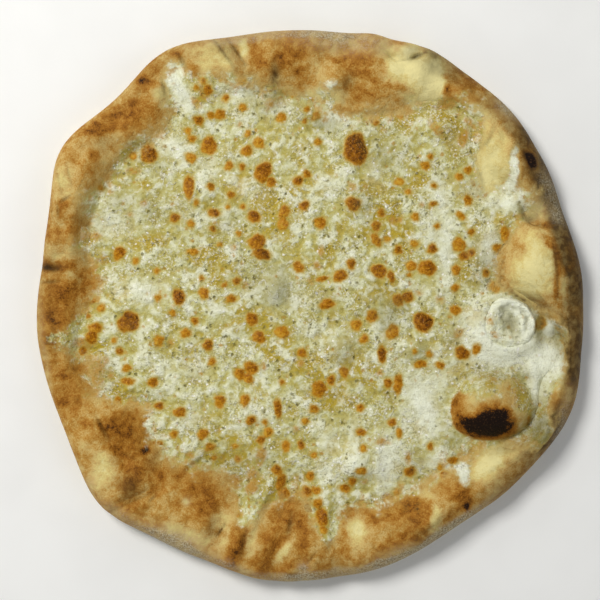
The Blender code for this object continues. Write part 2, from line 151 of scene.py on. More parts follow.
# Faint ones: tan or olive, with soft edges.
FAINT_BLISTERS = (
    (196, 73, 6, 2.5, 60), (197, 104, 6, 4, -40), (256, 46, 5), (254, 63, 4.5), (270, 103, 8, 4.5, 80), (255, 84, 2),
    (284, 92, 2.5), (382, 97, 3), (402, 90, 16, 3.5, -12), (436, 130, 10, 4, -50), (463, 138, 8, 5, 75),
    (468, 122, 5, 3, -50), (480, 125, 2.5), (447, 104, 9, 5.5, 10), (446, 90, 10, 3, 95), (444, 79, 3.5),
    (474, 101, 5), (500, 159, 7, 3, 90), (517, 182, 8, 3, 80), (96, 236, 5, 3.5), (130, 214, 3), (144, 203, 3.5),
    (103, 259, 3), (133, 171, 6, 4), (352, 187, 3.5), (393, 220, 4.5), (400, 219, 3), (421, 205, 2.5),
    (321, 251, 4.5, 3, 90), (311, 282, 3), (317, 266, 3.5), (418, 293, 3), (106, 360, 3.5), (171, 343, 3.5),
    (110, 374, 4), (92, 393, 8, 5, 20), (118, 412, 4), (263, 366, 3.5), (301, 363, 3), (380, 372, 3.5), (296, 429, 3),
    (440, 300, 4), (458, 333, 5, 4, 60), (190, 455, 4, 3), (222, 458, 3), (254, 476, 8, 6, -20), (295, 501, 4),
    (341, 534, 3), (313, 540, 3), (265, 505, 3), (262, 522, 2.5), (382, 441, 7, 4), (408, 458, 6, 3, 90),
    (365, 481, 2.5), (434, 491, 4), (489, 320, 3), (494, 335, 3), (234, 247, 3), (245, 285, 3), (224, 100, 2.5),
    (240, 125, 2.5), (261, 456, 11, 5, 80), (253, 486, 9, 6, 60), (204, 92, 10, 4, 95), (98, 372, 8, 13),
    (85, 343, 9, 6), (78, 238, 8, 7),
)
# Patches have rows like those of the blisters, with an amount at the end. First the yellow, oily ones.
OILY_PATCHES = (
    (346, 372, 24, 18, 20, 1.4), (385, 212, 20, 14, 40, 1.2), (385, 235, 14, 16, 0.8), (240, 150, 12, 20, 0.3),
    (148, 243, 22, 10, 0.4), (495, 219, 12, 7, 0.7), (285, 355, 18, 10, 0.7), (300, 160, 22, 12, 0.6),
    (272, 212, 28, 20, 0.8), (290, 190, 30, 20, 0.5), (240, 185, 24, 16, 0.5), (322, 248, 16, 10, 0.6),
    (310, 362, 24, 10, 10, 0.8), (262, 330, 24, 22, 30, 0.8), (222, 230, 16, 8, 0.7), (392, 285, 18, 14, 0.8),
    (365, 190, 16, 10, 0.8), (440, 240, 8, 16, 0.2), (250, 440, 22, 10, 0.6), (100, 352, 14, 12, 0.7),
    (459, 340, 9, 13, 1.0), (468, 318, 16, 8, 100, 0.5), (270, 395, 20, 10, 0.5), (405, 240, 12, 14, 0.6),
    (118, 280, 12, 8, 0.5), (218, 278, 12, 10, 0.6), (335, 402, 22, 8, 0.7), (425, 183, 12, 10, 0.6),
    (232, 325, 12, 10, 0.5), (200, 255, 20, 8, 0.7), (400, 115, 24, 9, -10, 0.7), (215, 460, 26, 12, 0.8),
    (118, 388, 14, 9, 0.7), (275, 488, 16, 14, 0.8), (240, 500, 22, 14, 95, 0.4), (500, 383, 30, 11, 0.7),
    (522, 400, 12, 20, 0.4), (450, 130, 22, 12, -40, 0.6), (206, 100, 18, 12, 110, 0.4), (318, 108, 20, 8, -10, 0.3),
    (150, 195, 10, 0.25), (92, 240, 10, 0.6), (470, 272, 14, 0.5), (480, 128, 16, 8, 0.5), (350, 492, 18, 7, 0.4),
)
# Smooth white streams and clots of the cheese.
WHITE_PATCHES = (
    (498, 345, 34, 20, 1.0), (507, 325, 30, 28, 1.0), (446, 255, 40, 8, 92, 0.8), (430, 232, 8, 14, 0.6),
    (466, 318, 10, 12, 0.35), (420, 400, 29, 15, 110, 0.9), (438, 380, 18, 11, 60, 0.5), (388, 330, 12, 20, 0.35),
    (110, 225, 22, 12, 0.5), (170, 146, 16, 11, 0.6), (238, 92, 22, 11, 0.6), (280, 110, 14, 11, 0.5),
    (207, 172, 10, 12, 0.5), (145, 290, 20, 11, 0.6), (330, 185, 12, 9, 0.5), (374, 172, 7, 12, 0.5),
    (440, 196, 8, 18, 0.6), (490, 245, 10, 16, 0.9), (350, 265, 8, 12, 0.5), (384, 470, 26, 9, 85, 0.75),
    (356, 462, 8, 16, 0.6), (436, 464, 16, 7, 0.7), (265, 420, 12, 8, 0.5), (190, 420, 12, 8, 0.5),
    (310, 330, 12, 7, 0.5), (545, 366, 15, 13, 1.0), (512, 172, 30, 6, 85, 1.0), (500, 203, 18, 7, 0.7),
    (462, 471, 8, 12, 1.0), (535, 385, 20, 6, 97, 1.0), (172, 74, 26, 9, 108, 0.8), (186, 98, 18, 6, 118, 0.6),
    (330, 84, 10, 9, 0.9), (551, 325, 8, 10, 1.0), (553, 356, 14, 0.9), (392, 456, 16, 24, 20, 0.5),
    (486, 352, 22, 12, 0.5), (335, 118, 14, 8, -20, 0.6), (478, 190, 18, 10, 0.4), (300, 300, 20, 8, 0.3),
    (355, 430, 8, 16, 0.4), (330, 440, 12, 14, 0.4), (424, 428, 14, 20, 20, 0.3), (148, 425, 7, 14, 0.5),
    (325, 470, 10, 0.5), (165, 370, 10, 0.4), (195, 370, 14, 10, 0.4), (250, 190, 16, 10, 0.3),
    (420, 290, 12, 8, 0.4),
)
# How toasted the crust is, on top of CRUST_TOAST.
TOAST_PATCHES = (
    (92, 175, 18, 15, -20, 0.06), (101, 188, 5, 4, 0.2), (68, 206, 8, 4.5, 25, 0.24), (63, 215, 8, 3, 80, 0.12),
    (51, 231, 7, 15, 10, 0.13), (60, 233, 6, 0.12), (80, 229, 8, 0.2), (76, 241, 7, 5, 0.08), (63, 252, 20, 8, -0.13),
    (57, 267, 16, 6, -8, 0.22), (92, 276, 12, 9, 0.24), (87, 287, 8, 7, 30, 0.2), (73, 266, 5, 4, 0.16),
    (78, 280, 12, 2.5, -45, -0.1), (65, 291, 13, 12, 0.2), (60, 312, 28, 15, 90, 0.4), (104, 128, 16, 10, 30, 0.2),
    (350, 512, 16, 10, 0.16), (250, 470, 24, 16, 80, 0.16), (70, 314, 5, 0.15), (58, 317, 6, 0.15),
    (54, 339, 8, 9, 0.34), (66, 334, 6, 4, 15, 0.2), (46, 345, 5, 50, 5, -0.03), (68, 368, 20, 13, 0.1),
    (79, 386, 20, 14, 100, 0.14), (68, 402, 16, 10, 0.14), (67, 377, 5, 4, 0.14), (79, 420, 20, 9, 0.06),
    (88, 422, 6, 4, 0.1), (128, 430, 26, 18, 0.3), (114, 424, 10, 8, 0.1), (118, 449, 12, 5, -20, 0.16),
    (85, 440, 16, 10, -0.05), (105, 468, 24, 11, 80, -0.22), (90, 480, 22, 12, 60, -0.04),
    (142, 464, 22, 12, -30, 0.18), (158, 477, 14, 9, 90, 0.16), (133, 480, 11, 0.16), (142, 506, 18, 10, -30, 0.12),
    (185, 478, 16, 12, 0.17), (203, 497, 22, 17, 95, 0.2), (207, 508, 12, 8, 0.12), (202, 480, 10, 0.1),
    (187, 499, 3.5, -0.2), (163, 518, 7, 6, 0.14), (185, 530, 34, 9, -18, -0.14), (237, 542, 19, 9, 71, 0.3),
    (233, 560, 7, 6, 60, 0.15), (225, 540, 14, 8, 60, -0.12), (222, 520, 9, 12, 70, -0.15), (283, 513, 12, 9, 0.28),
    (277, 535, 15, 10, 45, 0.28), (268, 550, 9, 8, 60, 0.2), (292, 500, 9, 7, 0.2), (260, 562, 19, 8, -20, 0.14),
    (252, 537, 20, 5, 70, -0.2), (284, 549, 13, 4, 50, -0.3), (288, 562, 9, 4, 20, 0.14), (303, 540, 20, 6, 93, 0.24),
    (302, 519, 6, 9, 0.16), (326, 556, 15, 13, 0.04), (345, 531, 4, 0.24), (344, 546, 4, 0.14),
    (357, 527, 18, 9, 85, -0.3), (388, 508, 20, 11, 0.14), (420, 510, 16, 14, 0.14), (130, 445, 22, 18, 0.12),
    (371, 516, 8, 6, -35, 0.14), (393, 541, 18, 7, 20, 0.14), (414, 509, 12, 13, 0.2), (415, 530, 14, 10, 20, 0.2),
    (433, 516, 15, 6, 85, -0.3), (424, 494, 8, 5, -0.15), (456, 488, 14, 9, -20, 0.22), (464, 500, 10, 9, 0.18),
    (452, 513, 10, 8, 20, 0.1), (487, 462, 22, 12, 48, -0.36), (490, 488, 18, 7, 40, -0.05),
    (510, 465, 14, 9, 45, -0.05), (505, 448, 14, 7, -0.05), (555, 395, 9, 12, 0.06), (552, 380, 7, 12, -0.2),
    (530, 268, 34, 23, 90, -0.38), (517, 252, 11, 8, 80, 0.2), (512, 275, 8, 14, 0.04), (547, 245, 9, 5, -50, 0.32),
    (553, 263, 4.5, 14, 0.32), (553, 286, 4, 12, 0.24), (562, 271, 8, 4, 15, 0.3), (548, 226, 6, 4, 0.3),
    (562, 296, 12, 3, 95, -0.15), (535, 213, 9, -0.2), (527, 163, 17, 10, -70, 0.1), (490, 165, 36, 17, 95, -0.38),
    (465, 88, 18, 12, -40, 0.13), (470, 92, 14, 3, 0.1), (474, 103, 7, 4, 0.14), (434, 84, 20, 9, 80, -0.3),
    (446, 93, 9, 5, 80, 0.3), (453, 105, 9, 5, -30, 0.3), (443, 78, 5, 3.5, 0.3), (438, 108, 8, 4, 0.25),
    (480, 113, 18, 5, -40, -0.12), (298, 50, 17, 13, 0.14), (284, 62, 12, 0.1), (298, 73, 6, 5, 0.18),
    (308, 80, 15, 6, -30, 0.08), (336, 62, 7, 4, 0.14), (345, 50, 5, 4, 0.14), (357, 62, 15, 14, 0.16),
    (363, 77, 10, 5, 0.14), (375, 81, 6, 4, 0.16), (382, 71, 5, 7, 0.14), (362, 96, 15, 8, 0.14),
    (404, 92, 20, 3.5, -14, 0.2), (400, 68, 17, 16, -0.34), (424, 76, 18, 24, -0.36), (410, 50, 10, 7, -0.22),
    (394, 43, 8, 5, -20, 0.1), (385, 50, 8, 12, -0.1), (266, 56, 16, 0.1), (253, 47, 9, 5, 90, 0.22),
    (255, 64, 6, 5, 0.14), (246, 51, 6, 9, -0.34), (206, 60, 24, 16, -0.17), (232, 66, 12, 8, -0.12),
    (178, 55, 6, 0.26), (194, 71, 10, 4.5, -52, 0.32), (155, 66, 7, 9, 0.1), (146, 87, 9, 5, 0.28),
    (156, 86, 5, 4, 0.22), (160, 98, 10, 14, -0.14), (140, 111, 19, 12, 20, 0.22), (154, 112, 7, 6, 0.16),
    (122, 116, 24, 14, 35, 0.13), (145, 125, 12, 6, 0.12), (104, 131, 8, 5, 0.34), (121, 131, 9, 4, 0.14),
    (85, 134, 7, 4, 30, 0.2), (96, 156, 5, 0.26), (103, 142, 14, 8, 30, -0.08), (68, 182, 22, 14, 80, -0.12),
    (120, 100, 14, 6, 40, -0.04), (320, 98, 28, 8, -0.22), (418, 99, 24, 8, -15, -0.2),
)
# Burnt spots, darker than the rest can get.
BURNS = (
    (146, 449, 5, 0.4), (465, 505, 4.5, 4, 0.36), (527, 162, 9.5, 4.6, -70, 0.75), (145, 80, 7, 5.5, 0.3),
    (237, 543, 16, 5, 71, 0.07), (54, 339, 6, 0.14), (298, 72, 4, 0.12), (203, 496, 8, 6, 95, 0.08),
    (133, 481, 7, 0.06), (446, 91, 5, 3, 80, 0.12), (567, 252, 16, 5, 95, 0.18), (50, 268, 8, 3, -8, 0.14),
    (60, 312, 20, 10, 90, 0.03), (104, 130, 10, 6, 0.08),
)
# Painted shade: olive and dark tones of folds in shade, and of the sides that fall away from the light.
PAINTED_SHADE_PATCHES = (
    (82, 221, 9, 8, 0.25), (53, 267, 14, 5, -8, 0.6), (57, 316, 5, 8, 0.2), (132, 484, 12, 13, 0.75),
    (155, 458, 13, 8, 70, 0.5), (214, 524, 17, 8, 80, 0.45), (196, 462, 14, 4, 40, 0.4), (248, 536, 16, 4, 75, 0.25),
    (291, 524, 10, 4, 80, 0.3), (292, 571, 8, 4, 0.5), (412, 524, 8, 10, 0.15), (505, 447, 16, 6, 0.2),
    (571, 348, 26, 6, 92, 0.8), (540, 170, 10, 5, -70, 0.8), (550, 262, 18, 5, 90, 0.5), (525, 134, 9, 6, -50, 0.4),
    (385, 325, 8, 11, 0.4), (520, 388, 9, 22, -10, 0.35), (534, 430, 24, 14, 45, 0.55), (530, 180, 22, 7, -75, 0.35),
    (480, 104, 11, 8, 0.35), (486, 272, 9, 14, 0.3), (553, 318, 20, 12, 80, 0.35), (510, 441, 14, 7, 10, 0.5),
    (543, 396, 8, 14, 0.4), (556, 334, 12, 10, 0.45), (460, 476, 8, 6, 0.3), (525, 175, 16, 7, -75, 0.3),
    (276, 105, 14, 8, 0.3), (560, 325, 12, 3, 100, 0.5), (524, 218, 12, 4, -45, 0.7), (519, 206, 8, 4, 80, 0.5),
    (431, 55, 9, 4, -30, 0.4), (348, 84, 11, 6, 70, 0.5), (276, 80, 18, 6, 90, 0.45), (234, 58, 18, 6, -54, 0.45),
    (220, 52, 14, 3, -54, 0.25), (165, 92, 16, 3.5, 80, 0.35), (108, 145, 20, 9, 0.25), (480, 285, 12, 5, -20, 0.4),
    (320, 121, 14, 10, 0.75), (265, 106, 16, 9, 0.35), (364, 204, 22, 11, 80, 0.5), (226, 224, 16, 8, 30, 0.35),
    (120, 200, 14, 10, 0.4), (165, 205, 48, 30, 0.14), (250, 275, 40, 22, 0.2), (380, 300, 18, 22, 0.3),
    (380, 140, 24, 20, 0.25), (494, 384, 22, 14, 0.35), (536, 328, 18, 6, -80, 1.0), (520, 352, 14, 5, 20, 0.3),
    (538, 302, 20, 3, -32, 0.5), (92, 250, 10, 12, 0.2), (396, 312, 12, 14, 0.4), (345, 366, 12, 8, 20, 0.3),
    (105, 372, 12, 16, 0.4), (232, 464, 30, 20, 0.4), (385, 160, 16, 14, 0.35), (158, 166, 12, 9, 0.3),
    (381, 232, 8, 14, 0.3), (290, 218, 8, 14, 0.25), (452, 340, 8, 12, 0.4), (470, 248, 8, 10, 0.3),
    (420, 470, 12, 0.3), (452, 440, 12, 8, 20, 0.3), (270, 460, 14, 8, 0.3), (492, 374, 24, 8, 0.3),
    (540, 420, 14, 22, 20, 0.4), (280, 280, 6, 14, 0.25), (152, 210, 10, 12, 0.25), (130, 330, 12, 14, 0.2),
    (240, 332, 16, 8, 0.2), (497, 268, 18, 4, 95, 0.35), (520, 299, 20, 3.5, -38, 0.9), (540, 318, 9, 5, 80, 0.45),
)
# How dark the outermost crust is painted, a painted shade where its side falls away from the light: direction,
# amount, half width in degrees; and its width.
RIM_PAINTED_SHADES = (
    (60, 0.6, 7), (37, 0.75, 11), (19, 0.9, 11), (5, 0.9, 8), (-11, 0.95, 9), (-28, 0.7, 8), (-42, 0.5, 8),
    (-62, 0.5, 12), (-85, 0.3, 10), (120, 0.2, 20), (176, 0.2, 20),
)
RIM_PAINTED_SHADE_WIDTH = 15.5
# Flour on the outermost crust, in the same way.
RIM_FLOUR = ((86, 0.9, 9), (104, 0.5, 8), (-119, 0.8, 8), (-92, 0.9, 9), (-73, 1.0, 9), (-56, 1.0, 8))
RIM_FLOUR_WIDTH = 7.5
# Flour left on the crust.
FLOUR_PATCHES = (
    (548, 190, 20, 7, -65, 0.7), (556, 216, 9, 6, -70, 0.7), (504, 110, 12, 6, -42, 0.9), (560, 420, 30, 6, 75, 0.5),
    (303, 566, 6, 0.9), (120, 512, 26, 7, -35, 0.4), (174, 536, 30, 9, -20, 0.9), (345, 46, 50, 9, -6, 0.55),
    (228, 562, 22, 5, -20, 0.5), (400, 550, 26, 6, 20, 0.5), (535, 208, 10, 12, 0.4), (410, 52, 8, 5, 0.3),
    (187, 499, 4, 0.4), (90, 485, 16, 8, 60, 0.3), (46, 350, 4, 50, 5, 0.2),
)
# Creases of the crust, also painted darker as shade in them: from and to in pixels, width and depth in millimetres.
CREASES = (
    (388, 57, 396, 63, 0.5, 1.0), (410, 61, 425, 54, 0.8, 2.2), (396, 63, 409, 62, 0.5, 0.8),
    (517, 203, 524, 219, 1.4, 2.0), (524, 219, 545, 228, 1.4, 2.0), (98, 415, 112, 440, 0.9, 1.6),
    (109, 437, 124, 450, 0.5, -0.8), (124, 452, 140, 460, 0.5, 0.9), (110, 508, 160, 487, 0.8, -1.2),
    (152, 499, 158, 493, 0.8, 1.6), (217, 535, 227, 522, 0.7, 1.8), (187, 470, 207, 452, 1.6, 1.4),
    (42, 268, 62, 270, 1.4, 1.6), (42, 283, 62, 282, 0.9, 1.2), (64, 204, 74, 198, 0.9, 1.2),
    (61, 206, 62, 220, 0.9, 1.2), (58, 168, 66, 196, 0.7, 0.7), (70, 165, 76, 188, 0.7, 0.6),
    (52, 200, 56, 222, 0.7, 0.6), (178, 55, 188, 70, 0.8, 1.4), (163, 80, 170, 104, 1.4, 1.2),
    (214, 40, 238, 74, 1.0, 1.2), (228, 40, 247, 68, 1.0, 1.4), (275, 64, 276, 96, 2.4, 1.6),
    (247, 526, 242, 556, 1.4, 1.1), (292, 512, 288, 536, 1.2, 1.0), (308, 560, 316, 550, 0.8, 1.2),
    (537, 176, 534, 196, 0.6, 0.8), (549, 242, 556, 300, 0.8, 1.0), (566, 320, 570, 380, 0.8, 0.8),
    (540, 312, 560, 330, 0.9, 1.4), (505, 290, 534, 310, 0.9, 1.4), (504, 246, 502, 286, 0.9, 1.2),
    (363, 536, 377, 546, 0.4, 0.5), (366, 541, 380, 550, 0.4, 0.5), (473, 455, 468, 470, 0.7, 0.9),
    (492, 130, 479, 160, 0.9, 1.0), (479, 160, 484, 192, 0.9, 1.0), (484, 192, 502, 210, 0.9, 1.0),
    (512, 232, 504, 250, 0.9, 1.2),
)
# Clots and strands of cheese that stand up; the amount is a height in millimetres.
CLOTS = (
    (508, 150, 15, 6.5, 70, 1.6), (515, 178, 20, 6, 84, 1.6), (513, 205, 12, 7, 70, 1.2),
    (535, 384, 22, 5.5, 97, 3.2), (538, 404, 12, 5, 75, 2.0), (551, 325, 10, 7, 110, 3.2), (557, 350, 14, 9, 80, 2.2),
    (548, 368, 10, 9, 1.8), (153, 93, 7, 5, 0.8), (463, 477, 8, 6, 100, 2.0), (379, 470, 24, 6, 95, 1.8),
    (330, 84, 12, 10, 3.0), (447, 440, 16, 9, 30, 1.4), (545, 350, 12, 9, 40, 1.0), (168, 75, 14, 5, 110, 0.9),
    (176, 98, 16, 6, 120, 0.9), (440, 475, 14, 7, 20, 1.0),
)
# Where the cheese reaches over the crust, or leaves it bare.
COVER_PATCHES = (
    (489, 166, 13, 26, 5, -2.2), (511, 166, 38, 7, 82, 2.8), (524, 270, 21, 30, -1.6), (549, 350, 12, 22, 1.2),
    (577, 345, 38, 10, 88, -3.2), (536, 392, 7, 30, 5, 1.6), (330, 84, 14, 12, 2.2), (318, 101, 30, 8, 0.7),
    (416, 101, 26, 8, -15, 0.7), (176, 78, 34, 14, 112, 2.6), (212, 88, 26, 9, 0.8), (538, 430, 12, 16, 1.0),
    (153, 93, 8, 6, 1.0), (463, 474, 13, 7, 98, 2.4), (326, 520, 30, 10, 94, 2.9), (250, 507, 28, 8, 69, 2.3),
    (238, 478, 24, 14, -0.5), (110, 405, 18, 10, -0.3), (62, 322, 14, 12, -1.2), (96, 380, 14, 24, -0.7),
    (205, 470, 20, 12, -0.5), (248, 474, 10, 18, -0.5), (350, 510, 24, 8, -0.5), (80, 290, 20, 12, -0.6),
)
# Grey, glassy bubbles of the cheese.
GREY_PATCHES = (
    (275, 289, 19, 18, 1.0), (340, 347, 19, 18, 0.6), (481, 258, 15, 0.6), (413, 349, 15, 14, 0.5),
    (318, 104, 12, 8, 0.5), (100, 222, 14, 10, 0.5), (455, 140, 12, 0.3), (232, 160, 10, 8, 0.4),
    (250, 95, 14, 8, 0.4), (195, 215, 12, 8, 0.3), (330, 300, 12, 8, 0.4), (150, 300, 10, 8, 0.3),
)
# The charred bubble: how toasted it is, and where a film of cheese covers it.
BUBBLE_TOAST = (
    (454, 410, 26, 10, 97, 0.3), (457, 396, 12, 8, 100, 0.14), (468, 428, 16, 8, -50, 0.2),
    (487, 424, 26, 19, -6, 0.3), (491, 424, 17, 15, -10, 0.6), (474, 422, 13, 10, -20, 0.3),
    (502, 411, 8, 6, 35, 0.4), (492, 402, 26, 6, 8, 0.14), (496, 443, 30, 4, 5, 0.2), (512, 424, 10, 5, 90, 0.2),
)
BUBBLE_COVER = (
    (480, 376, 36, 17, 2.2), (538, 400, 20, 44, 5, 2.2), (480, 393, 20, 9, 1.0), (520, 398, 14, 18, 1.1),
    (455, 383, 12, 10, 0.7),
)
# How toasted the crust and the charred bubble are without patches, 0 to 1.
CRUST_TOAST = 0.48
BUBBLE_BASE_TOAST = 0.36
# The cover field where no cheese is near, and where there is nothing else.
NO_CHEESE = -12.0
ALL_CHEESE = 20.0
BLISTER_INSET = 0.25
TABLE_SIZE = 64

# How fine the meshes are: few rings of dough under the cheese, and hem rings that close the cheese inside the dough.
STEPS_ROUND = 1200
RIM_RINGS = 40
SIDE_RINGS = 18
FOOT_RINGS = 8
CHEESE_SQUARES = 304
PIECE_SQUARES = 130
INNERMOST = 0.002
SEAT_RINGS = (0.7, 0.78, 0.85, 0.92, 0.985)
HEM_RINGS = (0.985, 0.92, 0.85, 0.6)
HEM_DEPTH = 3.0
# Directions in the picture: to the near left, and to the far right.
NEAR_LEFT = math.radians(225)
FAR_RIGHT = math.radians(40)

# The camera's lens and sensor, and the height at which the picture has the photograph's scale.
CAMERA_LENS = 85.0
CAMERA_SENSOR = 36.0
CAMERA_LEVEL = 10.0


def photo_place(x, y):
    """Millimetres from the axis for a pixel of the photograph."""
    return (x - AXIS_PIXEL_X) * PIXEL, (AXIS_PIXEL_Y - y) * PIXEL


def photo_oval(x, y, half_length, half_width=None, direction=0):
    """An oval of the photograph in millimetres; it is round if it has no half width."""
    return (*photo_place(x, y), half_length * PIXEL, (half_width or half_length) * PIXEL, direction)


def flat(radius, angle):
    """x and y at a distance from the axis and a direction in degrees."""
    return radius * np.cos(np.radians(angle)), radius * np.sin(np.radians(angle))


def polar(x, y):
    """Distance from the axis, and direction in degrees."""
    return np.hypot(x, y), np.degrees(np.arctan2(y, x))


def unit(t):
    """Kept between 0 and 1."""
    return np.clip(t, 0.0, 1.0)


def ease(t):
    """0 to 1, flat at both ends."""
    t = unit(t)
    return t * t * (3 - 2 * t)


def bell(value, middle, half_width):
    """A smooth rise to 1 at the middle."""
    return np.exp(-((value - middle) / half_width) ** 2)


def square_of(x, y, size):
    """Column and row of the square that each place lies in."""
    return np.floor(x / size).astype(int), np.floor(y / size).astype(int)


def relief_swells(x, y, size, seed):
    """Smooth random unevenness between -1 and 1, with swells as wide as size."""
    table = np.random.default_rng(seed).uniform(-1.0, 1.0, (TABLE_SIZE, TABLE_SIZE))
    column, row = square_of(x, y, size)
    across, along = ease(x / size - column), ease(y / size - row)

    def blend(j):
        left, right = (table[(column + i) % TABLE_SIZE, (row + j) % TABLE_SIZE] for i in (0, 1))
        return left * (1 - across) + right * across

    return blend(0) * (1 - along) + blend(1) * along


def rough_swells(x, y, size, seed, octaves=3):
    """Swells with finer ones on them, turned so that no two line up."""
    total, share, reach = 0.0, 1.0, 0.0
    for octave in range(octaves):
        turn = 0.7 * octave + 0.4
        u, v = x * math.cos(turn) - y * math.sin(turn), x * math.sin(turn) + y * math.cos(turn)
        total = total + share * relief_swells(u, v, size, seed + 17 * octave)
        reach += share
        share *= 0.55
        size *= 0.5
    return total / reach


def rounded_lumps(x, y, size, seed):
    """Rounded lumps of many sizes up to 1 high, one for each square of the given size."""
    table = np.random.default_rng(seed).uniform(0.0, 1.0, (4, TABLE_SIZE, TABLE_SIZE))
    column, row = square_of(x, y, size)
    highest = np.zeros_like(x)
    for i in (-1, 0, 1):
        for j in (-1, 0, 1):
            shift_x, shift_y, width, height = table[:, (column + i) % TABLE_SIZE, (row + j) % TABLE_SIZE]
            away = np.hypot(x / size - column - i - shift_x, y / size - row - j - shift_y) / (0.4 + 0.45 * width)
            highest = np.maximum(highest, (0.35 + 0.65 * height) * np.sqrt(unit(1 - away ** 2)))
    return highest


def sum_of_lobes(angle, lobes):
    """Smooth rises at given directions, added up. Angles and half widths are in degrees."""
    total = np.zeros_like(angle)
    for direction, rise, half_width in lobes:
        total += rise * bell((angle - direction + 180.0) % 360.0, 180.0, half_width)
    return total


def oval_distance(x, y, oval_x, oval_y, half_length, half_width, direction):
    """0 at the middle of an oval, 1 on its edge."""
    c, s = math.cos(math.radians(direction)), math.sin(math.radians(direction))
    along = (x - oval_x) * c + (y - oval_y) * s
    across = (y - oval_y) * c - (x - oval_x) * s
    return np.hypot(along / half_length, across / half_width)


def patches(x, y, rows, firmness=2.0):
    """The sum of uneven ovals; a firmer one has a flatter middle and a steeper edge."""
    bent_x = x + 1.6 * rough_swells(x, y, 7.0, SEED + 30)
    bent_y = y + 1.6 * rough_swells(x, y, 7.0, SEED + 34)
    total = np.zeros_like(x)
    for *oval, amount in rows:
        total += amount * np.exp(-oval_distance(bent_x, bent_y, *photo_oval(*oval)) ** firmness)
    return total


def edge_radius(angle):
    return EDGE_RADIUS + sum_of_lobes(angle, EDGE_LOBES)


def crust_foot(angle):
    return CRUST_FOOT_RADIUS + sum_of_lobes(angle, CRUST_FOOT_LOBES)


def cheese_radius(angle):
    reach = CHEESE_RADIUS + sum_of_lobes(angle, CHEESE_LOBES)
    return np.minimum(reach, edge_radius(angle) - EDGE_ROUNDING - 1.5)


def sheet_radius(angle):
    """Edge of the thin film that lies on the crust round the cheese."""
    reach = np.max([cheese_radius(angle + turn) for turn in (-4.5, -3.0, -1.5, 0.0, 1.5, 3.0, 4.5)], axis=0)
    return np.minimum(reach + 6.0, edge_radius(angle) - EDGE_ROUNDING - 1.5)


def crease_depth(x, y):
    """Depth of the creases, and how dark they are painted, a painted shade in them."""
    depth, painted_shade = np.zeros_like(x), np.zeros_like(x)
    for x1, y1, x2, y2, width, deep in CREASES:
        ax, ay = photo_place(x1, y1)
        bx, by = photo_place(x2, y2)
        along = ((x - ax) * (bx - ax) + (y - ay) * (by - ay)) / ((bx - ax) ** 2 + (by - ay) ** 2)
        share = unit(along)
        bend = 0.4 * relief_swells(x, y, 5.0, SEED + 50)
        away = np.hypot(x - ax - share * (bx - ax), y - ay - share * (by - ay)) + bend
        line = bell(away, 0.0, width) * (0.4 + 0.6 * np.sin(math.pi * np.clip(share, 0.05, 0.95)))
        depth += deep * line
        painted_shade = np.maximum(painted_shade, line * min(0.6, 0.35 * deep))
    return depth, painted_shade


def dough_top(radius, angle):
    """Height of the dough: a flat floor in the middle, a slope, and the crust's broad crest."""
    x, y = flat(radius, angle)
    foot, edge = crust_foot(angle), edge_radius(angle)
    floor = FLOOR_HEIGHT + (CRUST_FOOT_HEIGHT - FLOOR_HEIGHT) * ease(1 + (radius - foot) / CRUST_FOOT_WIDTH)

    inset = np.minimum(CREST_INSET, 0.6 * (edge - foot))
    crest = CREST_HEIGHT + sum_of_lobes(angle, CREST_LOBES)
    climb = unit((radius - foot) / (edge - inset - foot))
    fall = unit((radius - edge + inset) / inset)
    rise = (crest - CRUST_FOOT_HEIGHT) * np.sin(0.5 * math.pi * climb) ** 1.4 - 0.12 * crest * fall ** 2

    uneven = 1.8 * relief_swells(x, y, 19.0, SEED) + 0.9 * relief_swells(x, y, 9.0, SEED + 1)
    for *oval, height in CRUST_RELIEF:
        uneven = uneven + height * np.exp(-oval_distance(x, y, *oval) ** 2)
    return floor + rise + uneven * ease((radius - foot) / 6.0)


def blister_field(x, y, rows, seed):
    """Millimetres inside the nearest blister's edge (below 0 outside), and that blister's tone: its own, with painted
    shade that darkens its far right side.
    """
    inside, tone = np.full_like(x, -9.0), np.zeros_like(x)
    random = np.random.default_rng(seed)
    for row in rows:
        oval = photo_oval(*row)
        middle_x, middle_y, half_length, half_width, _ = oval
        turn = np.arctan2(y - middle_y, x - middle_x)
        wobble = random.uniform(0.0, 2 * math.pi, 3)
        shape = 1.0
        for waves, height, start in zip((2, 3, 5), (0.08, 0.06, 0.04), wobble):
            shape = shape + height * np.cos(waves * turn + start)
        size = math.sqrt(half_length * half_width)
        away = oval_distance(x, y, *oval) / shape
        depth = (1 - away) * size - BLISTER_INSET
        # Painted shade: each blister is darker on its far right side.
        side = np.cos(turn - FAR_RIGHT) * unit(away)
        own = random.uniform(0.03, 0.5) + 0.065 * min(size, 9.0) + 0.2 * side
        tone = np.where(depth > inside, own, tone)
        inside = np.maximum(inside, depth)
    return inside, tone


def cheese_cover(x, y):
    """Millimetres inside the edge of the cheese that is seen, below 0 on bare crust."""
    radius, angle = polar(x, y)
    reach = CHEESE_RADIUS + sum_of_lobes(angle, [lobe for lobe in CHEESE_LOBES if lobe[2] > 3.5])
    reach = np.minimum(reach, edge_radius(angle) - EDGE_ROUNDING)
    inside = 0.75 * (reach - radius) + 7.0 * patches(x, y, COVER_PATCHES)
    ragged = 2.6 * rough_swells(x, y, 13.0, SEED + 100) + 2.0 * rough_swells(x, y, 4.5, SEED + 105, 2)
    return np.clip(inside + ragged, NO_CHEESE, ALL_CHEESE)


